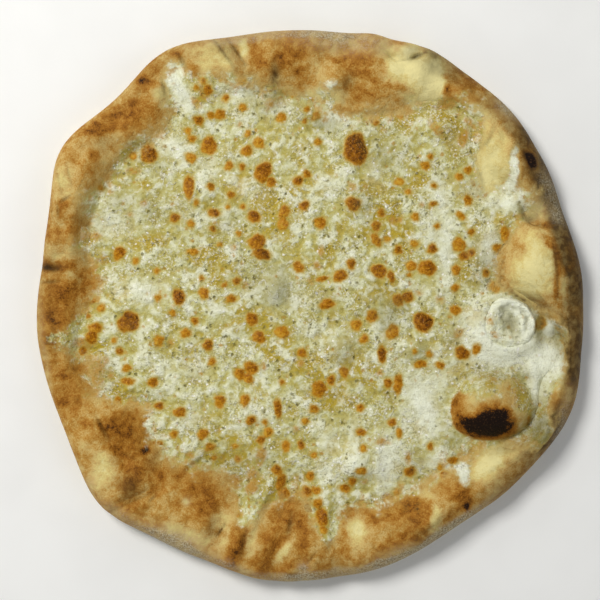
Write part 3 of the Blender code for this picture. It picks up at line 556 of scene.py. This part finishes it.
class Surface:
    """The fine relief at each place, and the fields that the finish is read from."""

    def __init__(self, x, y, cover=None):
        self.browned, self.tone = blister_field(x, y, BLISTERS, SEED + 70)
        self.faint, _ = blister_field(x, y, FAINT_BLISTERS, SEED + 71)
        self.cover = cheese_cover(x, y) if cover is None else cover
        self.white, self.oily, self.grey = (
            unit(patches(x, y, rows)) for rows in (WHITE_PATCHES, OILY_PATCHES, GREY_PATCHES))
        baked = 1.2 * patches(x, y, TOAST_PATCHES, 3.0)
        baked = np.where(baked > 0, 0.25 * np.tanh(baked / 0.25), 1.15 * baked)
        self.toast = CRUST_TOAST + baked + patches(x, y, BURNS, 3.0)
        # Painted shade: the creases, the shade patches and the outermost crust's side that falls away from the light
        # make the field that darkens the colour.
        crease, line = crease_depth(x, y)
        radius, angle = polar(x, y)
        rim = radius - edge_radius(angle) + 2.0 * rough_swells(x, y, 8.0, SEED + 64, 2)
        shade = patches(x, y, PAINTED_SHADE_PATCHES) + sum_of_lobes(angle, RIM_PAINTED_SHADES) * ease((rim + RIM_PAINTED_SHADE_WIDTH) / 7.0)
        dusted = sum_of_lobes(angle, RIM_FLOUR) * ease((rim + RIM_FLOUR_WIDTH) / 3.0)
        self.flour = unit(patches(x, y, FLOUR_PATCHES) + dusted)
        self.painted_shade = unit(line + shade)

        swells = rough_swells(x, y, 11.0, SEED + 72, 2)
        bent = x + 1.2 * relief_swells(x, y, 4.0, SEED + 76), y + 1.2 * relief_swells(x, y, 4.0, SEED + 77)
        lumps = rounded_lumps(*bent, 6.4, SEED + 80) - 0.45
        beads = rounded_lumps(*bent, 3.3, SEED + 81) - 0.45
        calm = ease(0.5 + 1.3 * relief_swells(x, y, 17.0, SEED + 84))
        smooth = np.clip(0.85 * self.white + 0.7 * self.grey + 0.45 * calm, 0.0, 0.9)
        blister = 1 - np.exp(-np.clip(self.browned, 0, 9))
        rough = (1 - smooth) * (1 - 0.7 * blister)
        self.rise = 0.8 * swells + (0.9 * lumps + 0.5 * beads) * (1 - 0.5 * smooth)
        curd = 0.8 * swells + (0.95 * lumps + 0.5 * beads) * rough + 0.4 * self.white + 0.5 * blister
        bread = 0.8 * rough_swells(x, y, 8.0, SEED + 60) + 0.14 * rough_swells(x, y, 2.2, SEED + 63, 2) - crease
        share = ease((self.cover + 1.5) / 4.5)
        self.height = bread * (1 - share) + curd * share + patches(x, y, CLOTS)

    def keep_on(self, piece, rest):
        """Stores the fields on the piece; rest says how many last points are hidden under it."""
        for name, columns in (("crust", (self.toast, self.flour, self.painted_shade, self.cover)),
                              ("browned", (self.browned, self.tone, self.faint, self.rise)),
                              ("curd", (self.white, self.oily, self.grey))):
            point_field(piece, name, [np.append(column, np.full(rest, column[-1])) for column in columns])


def bubble_rise(x, y):
    """Height of the big bubble's skin, and 1 well inside it."""
    middle_x, middle_y, half_length, half_width, direction, top = CHARRED_BUBBLE
    turn = np.arctan2(y - middle_y, x - middle_x)
    wobble = 1 + 0.03 * np.cos(3 * turn + FAR_RIGHT) + 0.015 * np.cos(5 * turn)
    away = oval_distance(x, y, middle_x, middle_y, half_length, half_width, direction) / wobble
    skin = 0.5 * rough_swells(x, y, 8.0, SEED + 95) + 0.2 * rough_swells(x, y, 2.4, SEED + 96, 2)
    return 2.0 + (top - 1.9 + skin) * unit(1 - away ** 2) ** 0.6, ease((1.0 - away) / 0.16)


def cheese_top(radius, angle, surface):
    """Height of the cheese: an even layer that thins to its edge, with swells, bubbles and blisters."""
    x, y = flat(radius, angle)
    thick = ease((cheese_radius(angle) - radius) / 24.0)
    layer = (CHEESE_THICKNESS + GAP) * thick - 0.15 * (1 - ease((sheet_radius(angle) - radius) / 5.0))
    swell = 0.9 * relief_swells(x, y, 21.0, SEED + 2) + 0.5 * relief_swells(x, y, 10.0, SEED + 3)
    for dome_x, dome_y, dome_radius, rise in CHEESE_DOMES:
        swell = swell + rise * (1 - ease(np.hypot(x - dome_x, y - dome_y) / dome_radius))
    height = dough_top(radius, angle) + layer + swell * thick + surface.height
    off = np.hypot(x - PIECE_X, y - PIECE_Y)
    skirt = skirt_height(off, np.arctan2(y - PIECE_Y, x - PIECE_X)) + 0.25 * surface.height
    skirt = skirt - 5.0 * (1 - ease((off - PIECE_RADIUS + 5.0) / 3.0))
    height = height + (skirt - height) * (1 - ease((off / PIECE_PAD_RADIUS - 0.66) / 0.34))
    dome, _ = bubble_rise(x, y)
    dome = dome + 0.2 * surface.height
    return 0.5 * (height + dome + np.sqrt((height - dome) ** 2 + 3.0))


def solids_shift():
    """How far the solids were moved to stand over their own middle."""
    angle = np.arange(0.0, 360.0, 2.5)
    x, y = flat(edge_radius(angle), angle)
    return np.array([-0.5 * (x.max() + x.min()), -0.5 * (y.max() + y.min()), 0.0])


SHIFT = solids_shift()


def new_piece(name, points, faces, material, node=None):
    """A smooth mesh from points in millimetres; it rides on the one body."""
    mesh = bpy.data.meshes.new(name)
    mesh.from_pydata(((points + SHIFT) * MM).tolist(), [], faces)
    mesh.materials.append(material)
    mesh.shade_smooth()
    mesh.update()
    piece = bpy.data.objects.new(name, mesh)
    bpy.context.scene.collection.objects.link(piece)
    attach(piece, "root")
    if node:
        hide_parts(node)
    return piece


def point_field(piece, name, columns):
    """Keeps up to four values of each point, for the material to read."""
    values = np.zeros((len(piece.data.vertices), 4), dtype=np.float32)
    for i, column in enumerate(columns):
        values[:, i] = column
    layer = piece.data.color_attributes.new(name, "FLOAT_COLOR", "POINT")
    layer.data.foreach_set("color", values.ravel())


def ring_faces(rings, steps):
    """Quads between rings of points, the first ring outermost in the order given."""
    row = np.arange(steps)
    after = (row + 1) % steps
    faces = []
    for ring in range(rings - 1):
        a, b = ring * steps, (ring + 1) * steps
        faces.append(np.stack([a + row, b + row, b + after, a + after], axis=1))
    return np.concatenate(faces).tolist()


def colour(red, green, blue):
    """A colour read as 0 to 255, made linear."""
    linear = []
    for value in (red, green, blue):
        value /= 255.0
        linear.append(value / 12.92 if value <= 0.04045 else ((value + 0.055) / 1.055) ** 2.4)
    return (*linear, 1.0)


class Finish:
    """A material built step by step: each method adds one node and returns its output."""

    def __init__(self, name):
        self.material = bpy.data.materials.new(name)
        self.material.use_nodes = True
        self.tree = self.material.node_tree
        self.shader = self.tree.nodes["Principled BSDF"]
        scale = self.node("VectorMath", operation="SCALE", Scale=1.0 / MM)
        self.put(self.node("TexCoord").outputs["Object"], scale.inputs[0])
        self.place = scale.outputs[0]

    def node(self, kind, operation=None, **inputs):
        node = self.tree.nodes.new("ShaderNode" + kind)
        if operation:
            node.operation = operation
        for name, value in inputs.items():
            self.put(value, node.inputs[name.replace("_", " ")])
        return node

    def put(self, value, socket):
        if hasattr(value, "is_linked"):
            self.tree.links.new(value, socket)
        else:
            socket.default_value = value

    def moved(self, shift):
        if not shift:
            return self.place
        move = self.node("VectorMath", operation="ADD")
        self.put(self.place, move.inputs[0])
        self.put((shift, shift * 1.7, shift * 0.6), move.inputs[1])
        return move.outputs[0]

    def noise(self, size, detail=3.0, rough=0.55, twist=0.0, shift=0.0):
        """0 to 1, with swells about size millimetres wide."""
        node = self.node("TexNoise", Vector=self.moved(shift), Scale=1.0 / size, Detail=detail, Roughness=rough,
                         Distortion=twist)
        return node.outputs["Fac"]

    def dots(self, size, radius, soft, shift=0.0, dent=0.0):
        """1 inside dots, size millimetres apart and radius wide; dent makes them uneven."""
        node = self.node("TexVoronoi", Vector=self.moved(shift), Scale=1.0 / size)
        away = self.math("MULTIPLY_ADD", node.outputs["Distance"], size)
        self.put(dent, away.node.inputs[2])
        return self.step(away, radius - soft, radius + soft, 1.0, 0.0)

    def math(self, operation, a, b=0.0, clamp=False):
        node = self.node("Math", operation)
        node.use_clamp = clamp
        self.put(a, node.inputs[0])
        self.put(b, node.inputs[1])
        return node.outputs[0]

    def total(self, *values, clamp=False):
        """The sum of the values."""
        result = values[0]
        for i, value in enumerate(values[1:], 2):
            result = self.math("ADD", result, value, clamp and i == len(values))
        return result

    def times(self, *values):
        """The product of the values."""
        result = values[0]
        for value in values[1:]:
            result = self.math("MULTIPLY", result, value)
        return result

    def step(self, value, low, high, to_low=0.0, to_high=1.0):
        """Eases from to_low to to_high while value goes from low to high."""
        node = self.node("MapRange", Value=value, From_Min=low, From_Max=high, To_Min=to_low, To_Max=to_high)
        node.interpolation_type = "SMOOTHSTEP"
        return node.outputs["Result"]

    def sway(self, value, reach, low=0.3):
        """Goes from -reach to reach over the middle of a noise."""
        return self.step(value, low, 1.0 - low, -reach, reach)

    def areas(self, size, low, high, shift, detail=1.0, rough=0.5, twist=0.0, most=1.0):
        """Above 0 in some places only, as a noise of the given size says."""
        return self.step(self.noise(size, detail, rough, twist, shift), low, high, 0.0, most)

    def ramp(self, value, stops):
        node = self.node("ValToRGB", Fac=value)
        elements = node.color_ramp.elements
        while len(elements) < len(stops):
            elements.new(0.5)
        for element, (position, tint) in zip(elements, stops):
            element.position = position
            element.color = colour(*tint)
        return node.outputs["Color"]

    def mix(self, amount, a, b):
        node = self.node("Mix")
        node.data_type = "RGBA"
        a, b = (colour(*tint) if isinstance(tint, tuple) else tint for tint in (a, b))
        for name, value in (("Factor", amount), ("A", a), ("B", b)):
            self.put(value, node.inputs[name])
        return node.outputs["Result"]

    def layer(self, base, tint, *amounts):
        """The base with a tint over it, as much as the product of the amounts says."""
        return self.mix(self.times(*amounts), base, tint)

    def fields(self, name):
        """The values kept by point_field, as four outputs."""
        node = self.node("Attribute")
        node.attribute_name = name
        split = self.node("SeparateColor", Color=node.outputs["Color"])
        return *(split.outputs[i] for i in range(3)), node.outputs["Alpha"]

    def bump(self, height, depth, below=None):
        node = self.node("Bump", Distance=depth * MM, Height=height)
        if below is not None:
            self.put(below, node.inputs["Normal"])
        return node.outputs["Normal"]

    def finish(self, base, roughness, normal, specular=0.5):
        for name, value in (("Base Color", base), ("Roughness", roughness), ("Normal", normal),
                            ("Specular IOR Level", specular)):
            self.put(value, self.shader.inputs[name])
        return self.material


CRUST_COLOURS = (
    (0.0, (226, 214, 152)), (0.2, (213, 193, 122)), (0.38, (200, 168, 102)), (0.52, (182, 138, 64)),
    (0.66, (162, 108, 34)), (0.8, (128, 78, 16)), (0.92, (64, 35, 8)), (1.0, (22, 11, 5)),
)
BLISTER_COLOURS = (
    (0.0, (206, 160, 52)), (0.3, (182, 122, 20)), (0.6, (146, 88, 6)), (0.85, (110, 62, 3)), (1.0, (78, 42, 2)),
)


def bread_colour(look, toast, flour, painted_shade):
    """Baked dough: soft toast over cream, with small browner spots, flour left in patches, and painted shade."""
    blotch = look.noise(13.0, 3.0, 0.5, 0.5)
    mottle = look.noise(4.2, 3.0, 0.55, 0.3)
    grain = look.noise(0.9, 2.0, 0.6)
    spots = look.times(look.dots(8.0, 1.2, 1.1), look.areas(20.0, 0.42, 0.6, 30.0))
    uneven = look.total(look.sway(blotch, 0.07), look.sway(mottle, 0.095), look.sway(grain, 0.085, 0.25),
                        look.times(spots, 0.09))
    value = look.total(toast, uneven, clamp=True)
    floury = look.math("MULTIPLY", flour, look.step(look.total(mottle, grain), 0.7, 1.25, 0.55, 1.1), True)
    flours = look.mix(look.step(grain, 0.35, 0.65), (112, 106, 84), (196, 188, 160))
    char = look.mix(look.step(grain, 0.56, 0.74), (26, 13, 6), (82, 54, 26))
    base = look.ramp(value, CRUST_COLOURS)
    # Painted shade: olive-brown darkening over folds, creases and the crust's falling sides.
    base = look.layer(base, (60, 44, 20), painted_shade, look.step(mottle, 0.3, 0.7, 0.75, 0.95))
    base = look.layer(base, flours, floury, 0.8)
    return look.layer(base, char, look.step(value, 0.86, 1.0)), mottle, grain


def curd_colour(look):
    """Melted mozzarella: whitish curd with yellow, oily hollows that are partly painted shade, pin-holes and browned
    blisters, with painted highlights.
    """
    browned, tone, faint, rise = look.fields("browned")
    white, oily, grey, _ = look.fields("curd")
    broad = look.noise(15.0, 2.0, 0.5)
    curds = look.noise(5.0, 2.0, 0.5, 0.5)
    small = look.noise(2.3, 2.0, 0.55, 0.3, 25.0)
    crumbs = look.noise(1.25, 2.0, 0.55)
    busy = look.step(white, 0.1, 1.0, 1.0, 0.4)
    rough = look.times(busy, look.areas(17.0, 0.47, 0.6, 60.0, 2.0))
    height = look.total(look.times(rise, 0.6), look.sway(curds, 0.45), look.times(white, 0.3))
    oil = look.step(look.total(oily, look.sway(broad, 0.45)), 0.05, 0.75)
    milk = look.areas(10.0, 0.52, 0.68, 80.0, 2.0, twist=0.6, most=0.6)
    # Painted highlights: small white wisps and streaks, also used in the bump.
    highlight_wisp = look.times(look.areas(3.6, 0.55, 0.68, 150.0, 3.0, 0.6, 1.2), look.areas(11.0, 0.42, 0.58, 170.0))
    dent = look.sway(crumbs, 0.5, 0.25)
    # Pin-holes, coloured dark olive as painted shade in them.
    hole = look.times(look.dots(5.0, 0.75, 0.5, 0.0, dent), look.areas(13.0, 0.4, 0.5, 40.0), busy)
    fleck = look.times(look.dots(7.0, 1.1, 0.7, 70.0, dent), look.areas(11.0, 0.46, 0.56, 90.0), busy)
    # Painted highlights: small white glints.
    painted_glint = look.times(look.dots(3.6, 0.55, 0.4, 130.0, dent), look.areas(9.0, 0.44, 0.56, 60.0, 2.0, 0.6))
    ragged = look.total(look.sway(small, 0.4, 0.25), look.sway(crumbs, 0.2, 0.25))
    depth = look.total(browned, ragged)
    fried = look.total(tone, look.sway(look.noise(1.9, 3.0, 0.6, 0.0, 20.0), 0.22), clamp=True)
    # Painted highlights: small light orange sparkles on the browned blisters.
    painted_sparkle = look.areas(0.8, 0.58, 0.72, 33.0, most=0.5)

    # The curd is lighter where it stands high and yellow-olive in the hollows: partly the cheese's own tone and oil,
    # partly painted light and shade of the relief.
    base = look.mix(look.step(height, -0.45, 0.35), (184, 173, 94), (203, 201, 148))
    for tint, *amounts in (
            ((180, 156, 48), oil, look.step(height, -0.3, 0.6, 1.0, 0.3)),
            # Curds and streams, from the tops down to the hollows between them; the whiter tops and darker olive
            # hollows are partly painted light and shade.
            ((232, 232, 200), look.step(height, 0.1, 0.75, 0.0, 0.85)),
            ((158, 138, 62), look.step(height, -0.35, -0.9, 0.0, 0.7)),
            ((236, 237, 214), milk, look.step(height, -0.6, 0.2)),
            ((238, 241, 220), white, 0.85),
            ((184, 182, 144), grey, 0.8),
            # Small and fine unevenness, with painted highlights in the white wisps, the light crumbs and the glints.
            ((150, 140, 80), look.step(small, 0.46, 0.3, 0.0, 0.6), busy),
            ((228, 226, 198), look.step(small, 0.57, 0.7, 0.0, 0.6), busy),
            ((248, 248, 236), highlight_wisp, 0.5),
            # Light and dark crumbs of the curd; the lightest also stand in for glints, a painted highlight.
            ((124, 120, 86), look.step(crumbs, 0.45, 0.3, 0.0, 0.65), rough),
            ((240, 238, 222), look.step(crumbs, 0.55, 0.68, 0.0, 0.7), rough),
            ((112, 102, 40), hole, 0.75),
            ((180, 136, 44), fleck, 0.8),
            ((250, 248, 240), painted_glint, 0.9),
            # Blisters: faint ones, then each browned one from its yellow edge in.
            ((182, 136, 52), look.step(look.total(faint, ragged), -1.9, 1.5),
             look.step(look.total(small, curds), 0.75, 1.15, 0.35, 0.95)),
            ((190, 164, 78), look.step(depth, -2.2, -0.2, 0.0, 0.75)),
            ((186, 134, 34), look.step(depth, -0.9, 0.5)),
            (look.ramp(fried, BLISTER_COLOURS), look.step(depth, -0.4, 1.4)),
            ((220, 160, 56), painted_sparkle, look.step(depth, 0.0, 1.2))):
        base = look.layer(base, tint, *amounts)
    return base, look.total(curds, look.times(highlight_wisp, 0.35)), small, look.times(crumbs, rough), hole


def focaccia_material(name, specular):
    """The whole surface: baked dough, and melted cheese where it covers the dough."""
    look = Finish(name)
    toast, flour, painted_shade, cover = look.fields("crust")
    bread, mottle, grain = bread_colour(look, toast, flour, painted_shade)
    curd, curds, small, crumbs, hole = curd_colour(look)
    ragged = look.total(look.sway(look.noise(8.0, 3.0, 0.6, 0.3, 10.0), 2.8), look.sway(small, 1.4, 0.25))
    edge = look.total(cover, ragged)
    melted = look.step(edge, -3.2, 3.6)
    golden = look.mix(look.step(small, 0.3, 0.7), (176, 128, 52), (204, 164, 86))
    greasy = look.mix(look.step(toast, 0.3, 0.7), (200, 184, 120), (176, 134, 58))
    fringe = look.areas(6.0, 0.47, 0.62, 200.0, 3.0, 0.6, 0.3)
    curd = look.layer(curd, golden, look.step(edge, 8.0, 1.0), fringe, 0.75)
    bread = look.layer(bread, greasy, look.step(edge, -8.0, 0.5, 0.0, 0.65), look.step(toast, 0.7, 0.85, 1.0, 0.0))
    # Painted shade: the melted cheese is darkened to olive where the shade field lies on it.
    base = look.layer(look.mix(melted, bread, curd), (112, 104, 56), painted_shade, melted, 0.75)
    rough = look.total(look.times(melted, -0.28), look.step(grain, 0.3, 0.7, 0.66, 0.58))
    normal = look.bump(look.total(look.times(look.total(curds, -0.5), melted), look.times(mottle, 0.9)), 0.8)
    normal = look.bump(look.total(look.times(look.total(small, -0.5), melted), look.times(grain, 0.8)), 0.5, normal)
    normal = look.bump(look.times(look.total(crumbs, look.times(hole, -1.2)), melted), 0.35, normal)
    return look.finish(base, rough, normal, specular)


def make_dough(material):
    """The crust in full, and the floor under the cheese in a few rings."""
    angle = np.arange(STEPS_ROUND) * 360.0 / STEPS_ROUND
    edge, cheese = edge_radius(angle), sheet_radius(angle)
    shoulder = edge - EDGE_ROUNDING
    inner = SEAT_RINGS[-1] * cheese - 1.0
    quarter = 0.5 * math.pi

    # Each ring: its radii, its share of the dough's height, and how far down the side it is.
    rings = [(share * cheese, 1.0, 0.0) for share in (INNERMOST,) + SEAT_RINGS[:-1]]
    rings += [(inner + (shoulder - inner) * i / RIM_RINGS, 1.0, 0.0) for i in range(RIM_RINGS + 1)]
    for i in range(1, SIDE_RINGS + 1):
        turn = quarter * i / SIDE_RINGS
        share = WIDEST_AT + (1 - WIDEST_AT) * math.cos(turn)
        rings.append((shoulder + EDGE_ROUNDING * math.sin(turn), share, i / SIDE_RINGS))
    for i in range(1, FOOT_RINGS + 1):
        turn = quarter * i / FOOT_RINGS
        rings.append((edge - FOOT_INSET * (1 - math.cos(turn)), WIDEST_AT * (1 - math.sin(turn)), 1.0))
    rings.append((INNERMOST * edge, 0.0, 1.0))

    count = len(rings)
    radius = np.concatenate([ring[0] for ring in rings])
    fraction, side = (np.repeat([ring[i] for ring in rings], STEPS_ROUND) for i in (1, 2))
    around, shoulders, edges, under = (np.tile(row, count) for row in (angle, shoulder, edge, cheese))
    x, y = flat(radius, around)
    surface = Surface(x, y)
    sunk = 0.9 * ease((under - radius) / 5.0)
    body = dough_top(np.minimum(radius, shoulders), around) + surface.height * (1 - side) - sunk
    rim = ease((radius - edges + 7.0) / 7.0)
    surface.toast = surface.toast - 0.1 * ease(1.3 - 1.6 * fraction) * side + 0.04 * rim * (1 - side)
    surface.flour = unit(surface.flour + 0.25 * ease(1.2 - 1.6 * fraction))
    surface.cover = np.where(side > 0.3, NO_CHEESE, surface.cover)
    faces = ring_faces(count, STEPS_ROUND)
    last = count * STEPS_ROUND
    faces.append(list(range(STEPS_ROUND)))
    faces.append(list(range(last - STEPS_ROUND, last))[::-1])
    points = np.stack([x, y, fraction * body], axis=1)
    piece = new_piece("focaccia_dough", points, faces, material, "dough")
    surface.keep_on(piece, 0)


def round_grid(x, y):
    """Carries a square grid of half size 1 to a disc, so that its square rings become circles."""
    ring = np.maximum(np.abs(x), np.abs(y))
    wide = np.abs(x) >= np.abs(y)
    share = np.divide(np.where(wide, y, x), np.where(wide, x, y), out=np.zeros_like(x), where=ring > 1e-9)
    turn = np.where(wide, 45.0 * share, 90.0 - 45.0 * share)
    return ring, turn + np.where(np.where(wide, x, y) < 0, 180.0, 0.0)


def grid_disc(squares):
    """Rings, angles and faces of a disc of even squares, and its border in order."""
    line = np.linspace(-1.0, 1.0, squares + 1)
    x, y = np.meshgrid(line, line)
    ring, angle = round_grid(x.ravel(), y.ravel())
    number = np.arange((squares + 1) ** 2).reshape(squares + 1, squares + 1)
    faces = np.stack([number[:-1, :-1], number[:-1, 1:], number[1:, 1:], number[1:, :-1]], axis=-1)
    border = np.concatenate([number[0, :-1], number[:-1, -1], number[-1, :0:-1], number[:0:-1, 0]])
    return ring, angle, faces.reshape(-1, 4).tolist(), border


def closed_sheet(top, faces, border, lower_rings):
    """A sheet with a skirt of rings below its border, closed by one face."""
    start, before = len(top), border
    for _ in lower_rings:
        after = np.arange(start, start + len(border))
        faces += np.stack([np.roll(before, -1), before, after, np.roll(after, -1)], axis=1).tolist()
        start += len(border)
        before = after
    return np.concatenate([top, *lower_rings]), faces + [before[::-1].tolist()]


def make_cheese(material):
    """The melted cheese: finer squares to its edge, a hem inside the dough, and the skin over the charred bubble."""
    ring, angle, faces, border = grid_disc(CHEESE_SQUARES)
    radius = ring * (sheet_radius(angle) * ring ** 3 + (CHEESE_RADIUS + 8.0) * (1 - ring ** 3))
    x, y = flat(radius, angle)
    surface = Surface(x, y)
    _, share = bubble_rise(x, y)
    surface.toast += (BUBBLE_BASE_TOAST + patches(x, y, BUBBLE_TOAST, 3.0) - surface.toast) * share
    surface.cover += (np.clip(6.0 * patches(x, y, BUBBLE_COVER) - 8.0, -9.0, 9.0) - surface.cover) * share
    top = np.stack([x, y, cheese_top(radius, angle, surface)], axis=1)
    around = angle[border]
    hem = [share * sheet_radius(around) for share in HEM_RINGS]
    hem = [np.stack([*flat(below, around), dough_top(below, around) - HEM_DEPTH], axis=1) for below in hem]
    points, faces = closed_sheet(top, faces, border, hem)
    piece = new_piece("melted_mozzarella", points, faces, material, "melted_cheese")
    surface.keep_on(piece, len(points) - len(top))


def skirt_height(off, turn):
    """Height of the cheese round the soft slice: it runs up to the slice on its near left side."""
    side = 0.5 + 0.5 * np.cos(turn - NEAR_LEFT)
    return PIECE_PAD_HEIGHT + (1.2 + 2.0 * side) * (1 - ease((off - PIECE_RADIUS + 1.0) / 13.0))


def make_soft_piece(material):
    """A soft slice: ridges on its far right, a wet, sunken middle, and a near left side that runs into the cheese."""
    ring, angle, faces, border = grid_disc(PIECE_SQUARES)
    turn = np.radians(angle)
    outline = 1.02 + 0.03 * np.cos(2 * turn + 0.9) + 0.015 * np.cos(3 * turn + 1.0) + 0.01 * np.cos(7 * turn)
    radius = PIECE_RADIUS * outline * ring
    x, y = PIECE_X + radius * np.cos(turn), PIECE_Y + radius * np.sin(turn)
    lean = ease(0.42 + 0.75 * np.cos(turn - FAR_RIGHT))
    surface = Surface(x, y, cover=np.full_like(x, ALL_CHEESE))
    bent = ring + 0.1 * rough_swells(x, y, 11.0, SEED + 99)
    broken = 0.8 + 0.7 * rough_swells(x, y, 7.0, SEED + 91)
    ridge = bell(bent, 0.82, 0.19) * broken
    second = bell(bent, 0.48, 0.12) * broken * ease(0.35 + 0.9 * np.cos(turn + 0.35))
    ridges = (2.6 * ridge + 1.9 * second) * lean
    mound = bell(bent, 0.58, 0.25) * (1 - lean)
    away = oval_distance(x, y, PIECE_X + 0.8, PIECE_Y + 0.6, 10.0, 5.0, -66)
    hollow = 1 - ease((away + 0.2 * rough_swells(x, y, 5.0, SEED + 90) - 0.45) / 0.8)
    lumps = rounded_lumps(x, y, 3.4, SEED + 97) * (0.5 + 0.5 * hollow) + 0.8 * rough_swells(x, y, 6.0, SEED + 98, 2)
    sag = skirt_height(np.full_like(turn, PIECE_RADIUS), turn) - PIECE_PAD_HEIGHT
    z = PIECE_PAD_HEIGHT + 0.9 + sag * ease(ring / 0.9) + ridges + mound + 0.7 * lumps
    z = z - 1.5 * hollow - 2.9 * lean * ease((ring - 0.86) / 0.14) - 2.8 * (1 - lean) * ease((ring - 0.5) / 0.5)
    z = np.minimum(z, PIECE_PAD_HEIGHT + GAP + PIECE_RIM_HEIGHT + 0.2)
    top = np.stack([x, y, z], axis=1)
    foot = top[border] * np.array([1.0, 1.0, 0.0]) + np.array([0.0, 0.0, PIECE_PAD_HEIGHT - 0.8])
    points, faces = closed_sheet(top, faces, border, [foot])
    piece = new_piece("mozzarella_slice", points, faces, material, "mozzarella_piece")
    mottled = ease(0.5 + rough_swells(x, y, 3.0, SEED + 92, 2))
    # The slice is white; its ridge on the far right is whiter still, a painted highlight, and its near left middle is
    # mottled.
    surface.white = unit(0.75 + 0.3 * ridge * lean - 0.3 * mottled * (1 - lean) * (ring < 0.8))
    surface.grey = 0.4 * hollow
    # Painted shade: in the sunken middle and the groove, and under the rim on the far right.
    groove = lean * bell(bent, 0.62, 0.07)
    under_rim = 0.7 * lean * ease((ring - 0.9) / 0.1)
    surface.painted_shade = unit((0.5 * hollow + 0.5 * groove) * (0.5 + mottled) + under_rim)
    surface.oily = np.zeros_like(x)
    surface.rise = 0.6 * ridges - hollow
    surface.keep_on(piece, len(points) - len(top))


def floor_material():
    look = Finish("pale_floor_finish")
    base = look.mix(look.step(look.noise(60.0, 2.0), 0.3, 0.7), (240, 240, 238), (244, 244, 242))
    return look.finish(base, 0.8, look.bump(look.noise(2.0), 0.02))


def make_stage():
    """A plain pale floor."""
    floor = bpy.data.meshes.new("floor")
    work = bmesh.new()
    bmesh.ops.create_grid(work, x_segments=1, y_segments=1, size=3.0)
    work.to_mesh(floor)
    work.free()
    floor.materials.append(floor_material())
    stage = bpy.data.objects.new("floor", floor)
    stage.location.z = -0.0003
    bpy.context.scene.collection.objects.link(stage)


def add_light(name, place, size, power, tint):
    """A square soft light that looks at the focaccia."""
    lamp = bpy.data.lights.new(name, "AREA")
    lamp.shape = "SQUARE"
    lamp.size = size
    lamp.energy = power
    lamp.color = tint
    light = bpy.data.objects.new(name, lamp)
    light.location = place
    away = -light.location
    light.rotation_euler = away.to_track_quat("-Z", "Y").to_euler()
    bpy.context.scene.collection.objects.link(light)


def light_up():
    """Soft daylight from the upper left of the view, low light all round, and a weak fill."""
    add_light("key", (-0.66, 0.64, 1.2), 0.5, 17.6, (1.0, 0.985, 0.95))
    add_light("fill", (0.9, -0.7, 1.0), 0.8, 2.0, (0.95, 0.98, 1.0))
    world = bpy.data.worlds.new("studio")
    world.use_nodes = True
    tree = world.node_tree
    place, split, fade = (tree.nodes.new("ShaderNode" + kind) for kind in ("TexCoord", "SeparateXYZ", "MapRange"))
    fade.interpolation_type = "SMOOTHSTEP"
    for name, number in (("From Min", 0.35), ("From Max", 0.9), ("To Min", 0.64), ("To Max", 0.08)):
        fade.inputs[name].default_value = number
    background = tree.nodes["Background"]
    background.inputs["Color"].default_value = (0.97, 0.985, 1.0, 1.0)
    tree.links.new(place.outputs["Generated"], split.inputs[0])
    tree.links.new(split.outputs["Z"], fade.inputs["Value"])
    tree.links.new(fade.outputs["Result"], background.inputs["Strength"])
    bpy.context.scene.world = world
    bpy.context.scene.view_settings.view_transform = "Standard"


def place_camera():
    """Straight above, so far that the width of the picture is the photograph's at the crust's height."""
    camera = bpy.data.cameras.new("camera")
    camera.lens = CAMERA_LENS
    camera.sensor_width = CAMERA_SENSOR
    distance = PHOTO_SIZE * PIXEL * CAMERA_LENS / CAMERA_SENSOR
    eye = bpy.data.objects.new("camera", camera)
    middle = photo_place(0.5 * PHOTO_SIZE, 0.5 * PHOTO_SIZE)
    eye.location = (np.array([*middle, distance + CAMERA_LEVEL]) + SHIFT) * MM
    bpy.context.scene.collection.objects.link(eye)
    bpy.context.scene.camera = eye


finish = focaccia_material("focaccia_finish", 0.1)
make_dough(finish)
make_cheese(finish)
make_soft_piece(finish)
make_stage()
light_up()
place_camera()
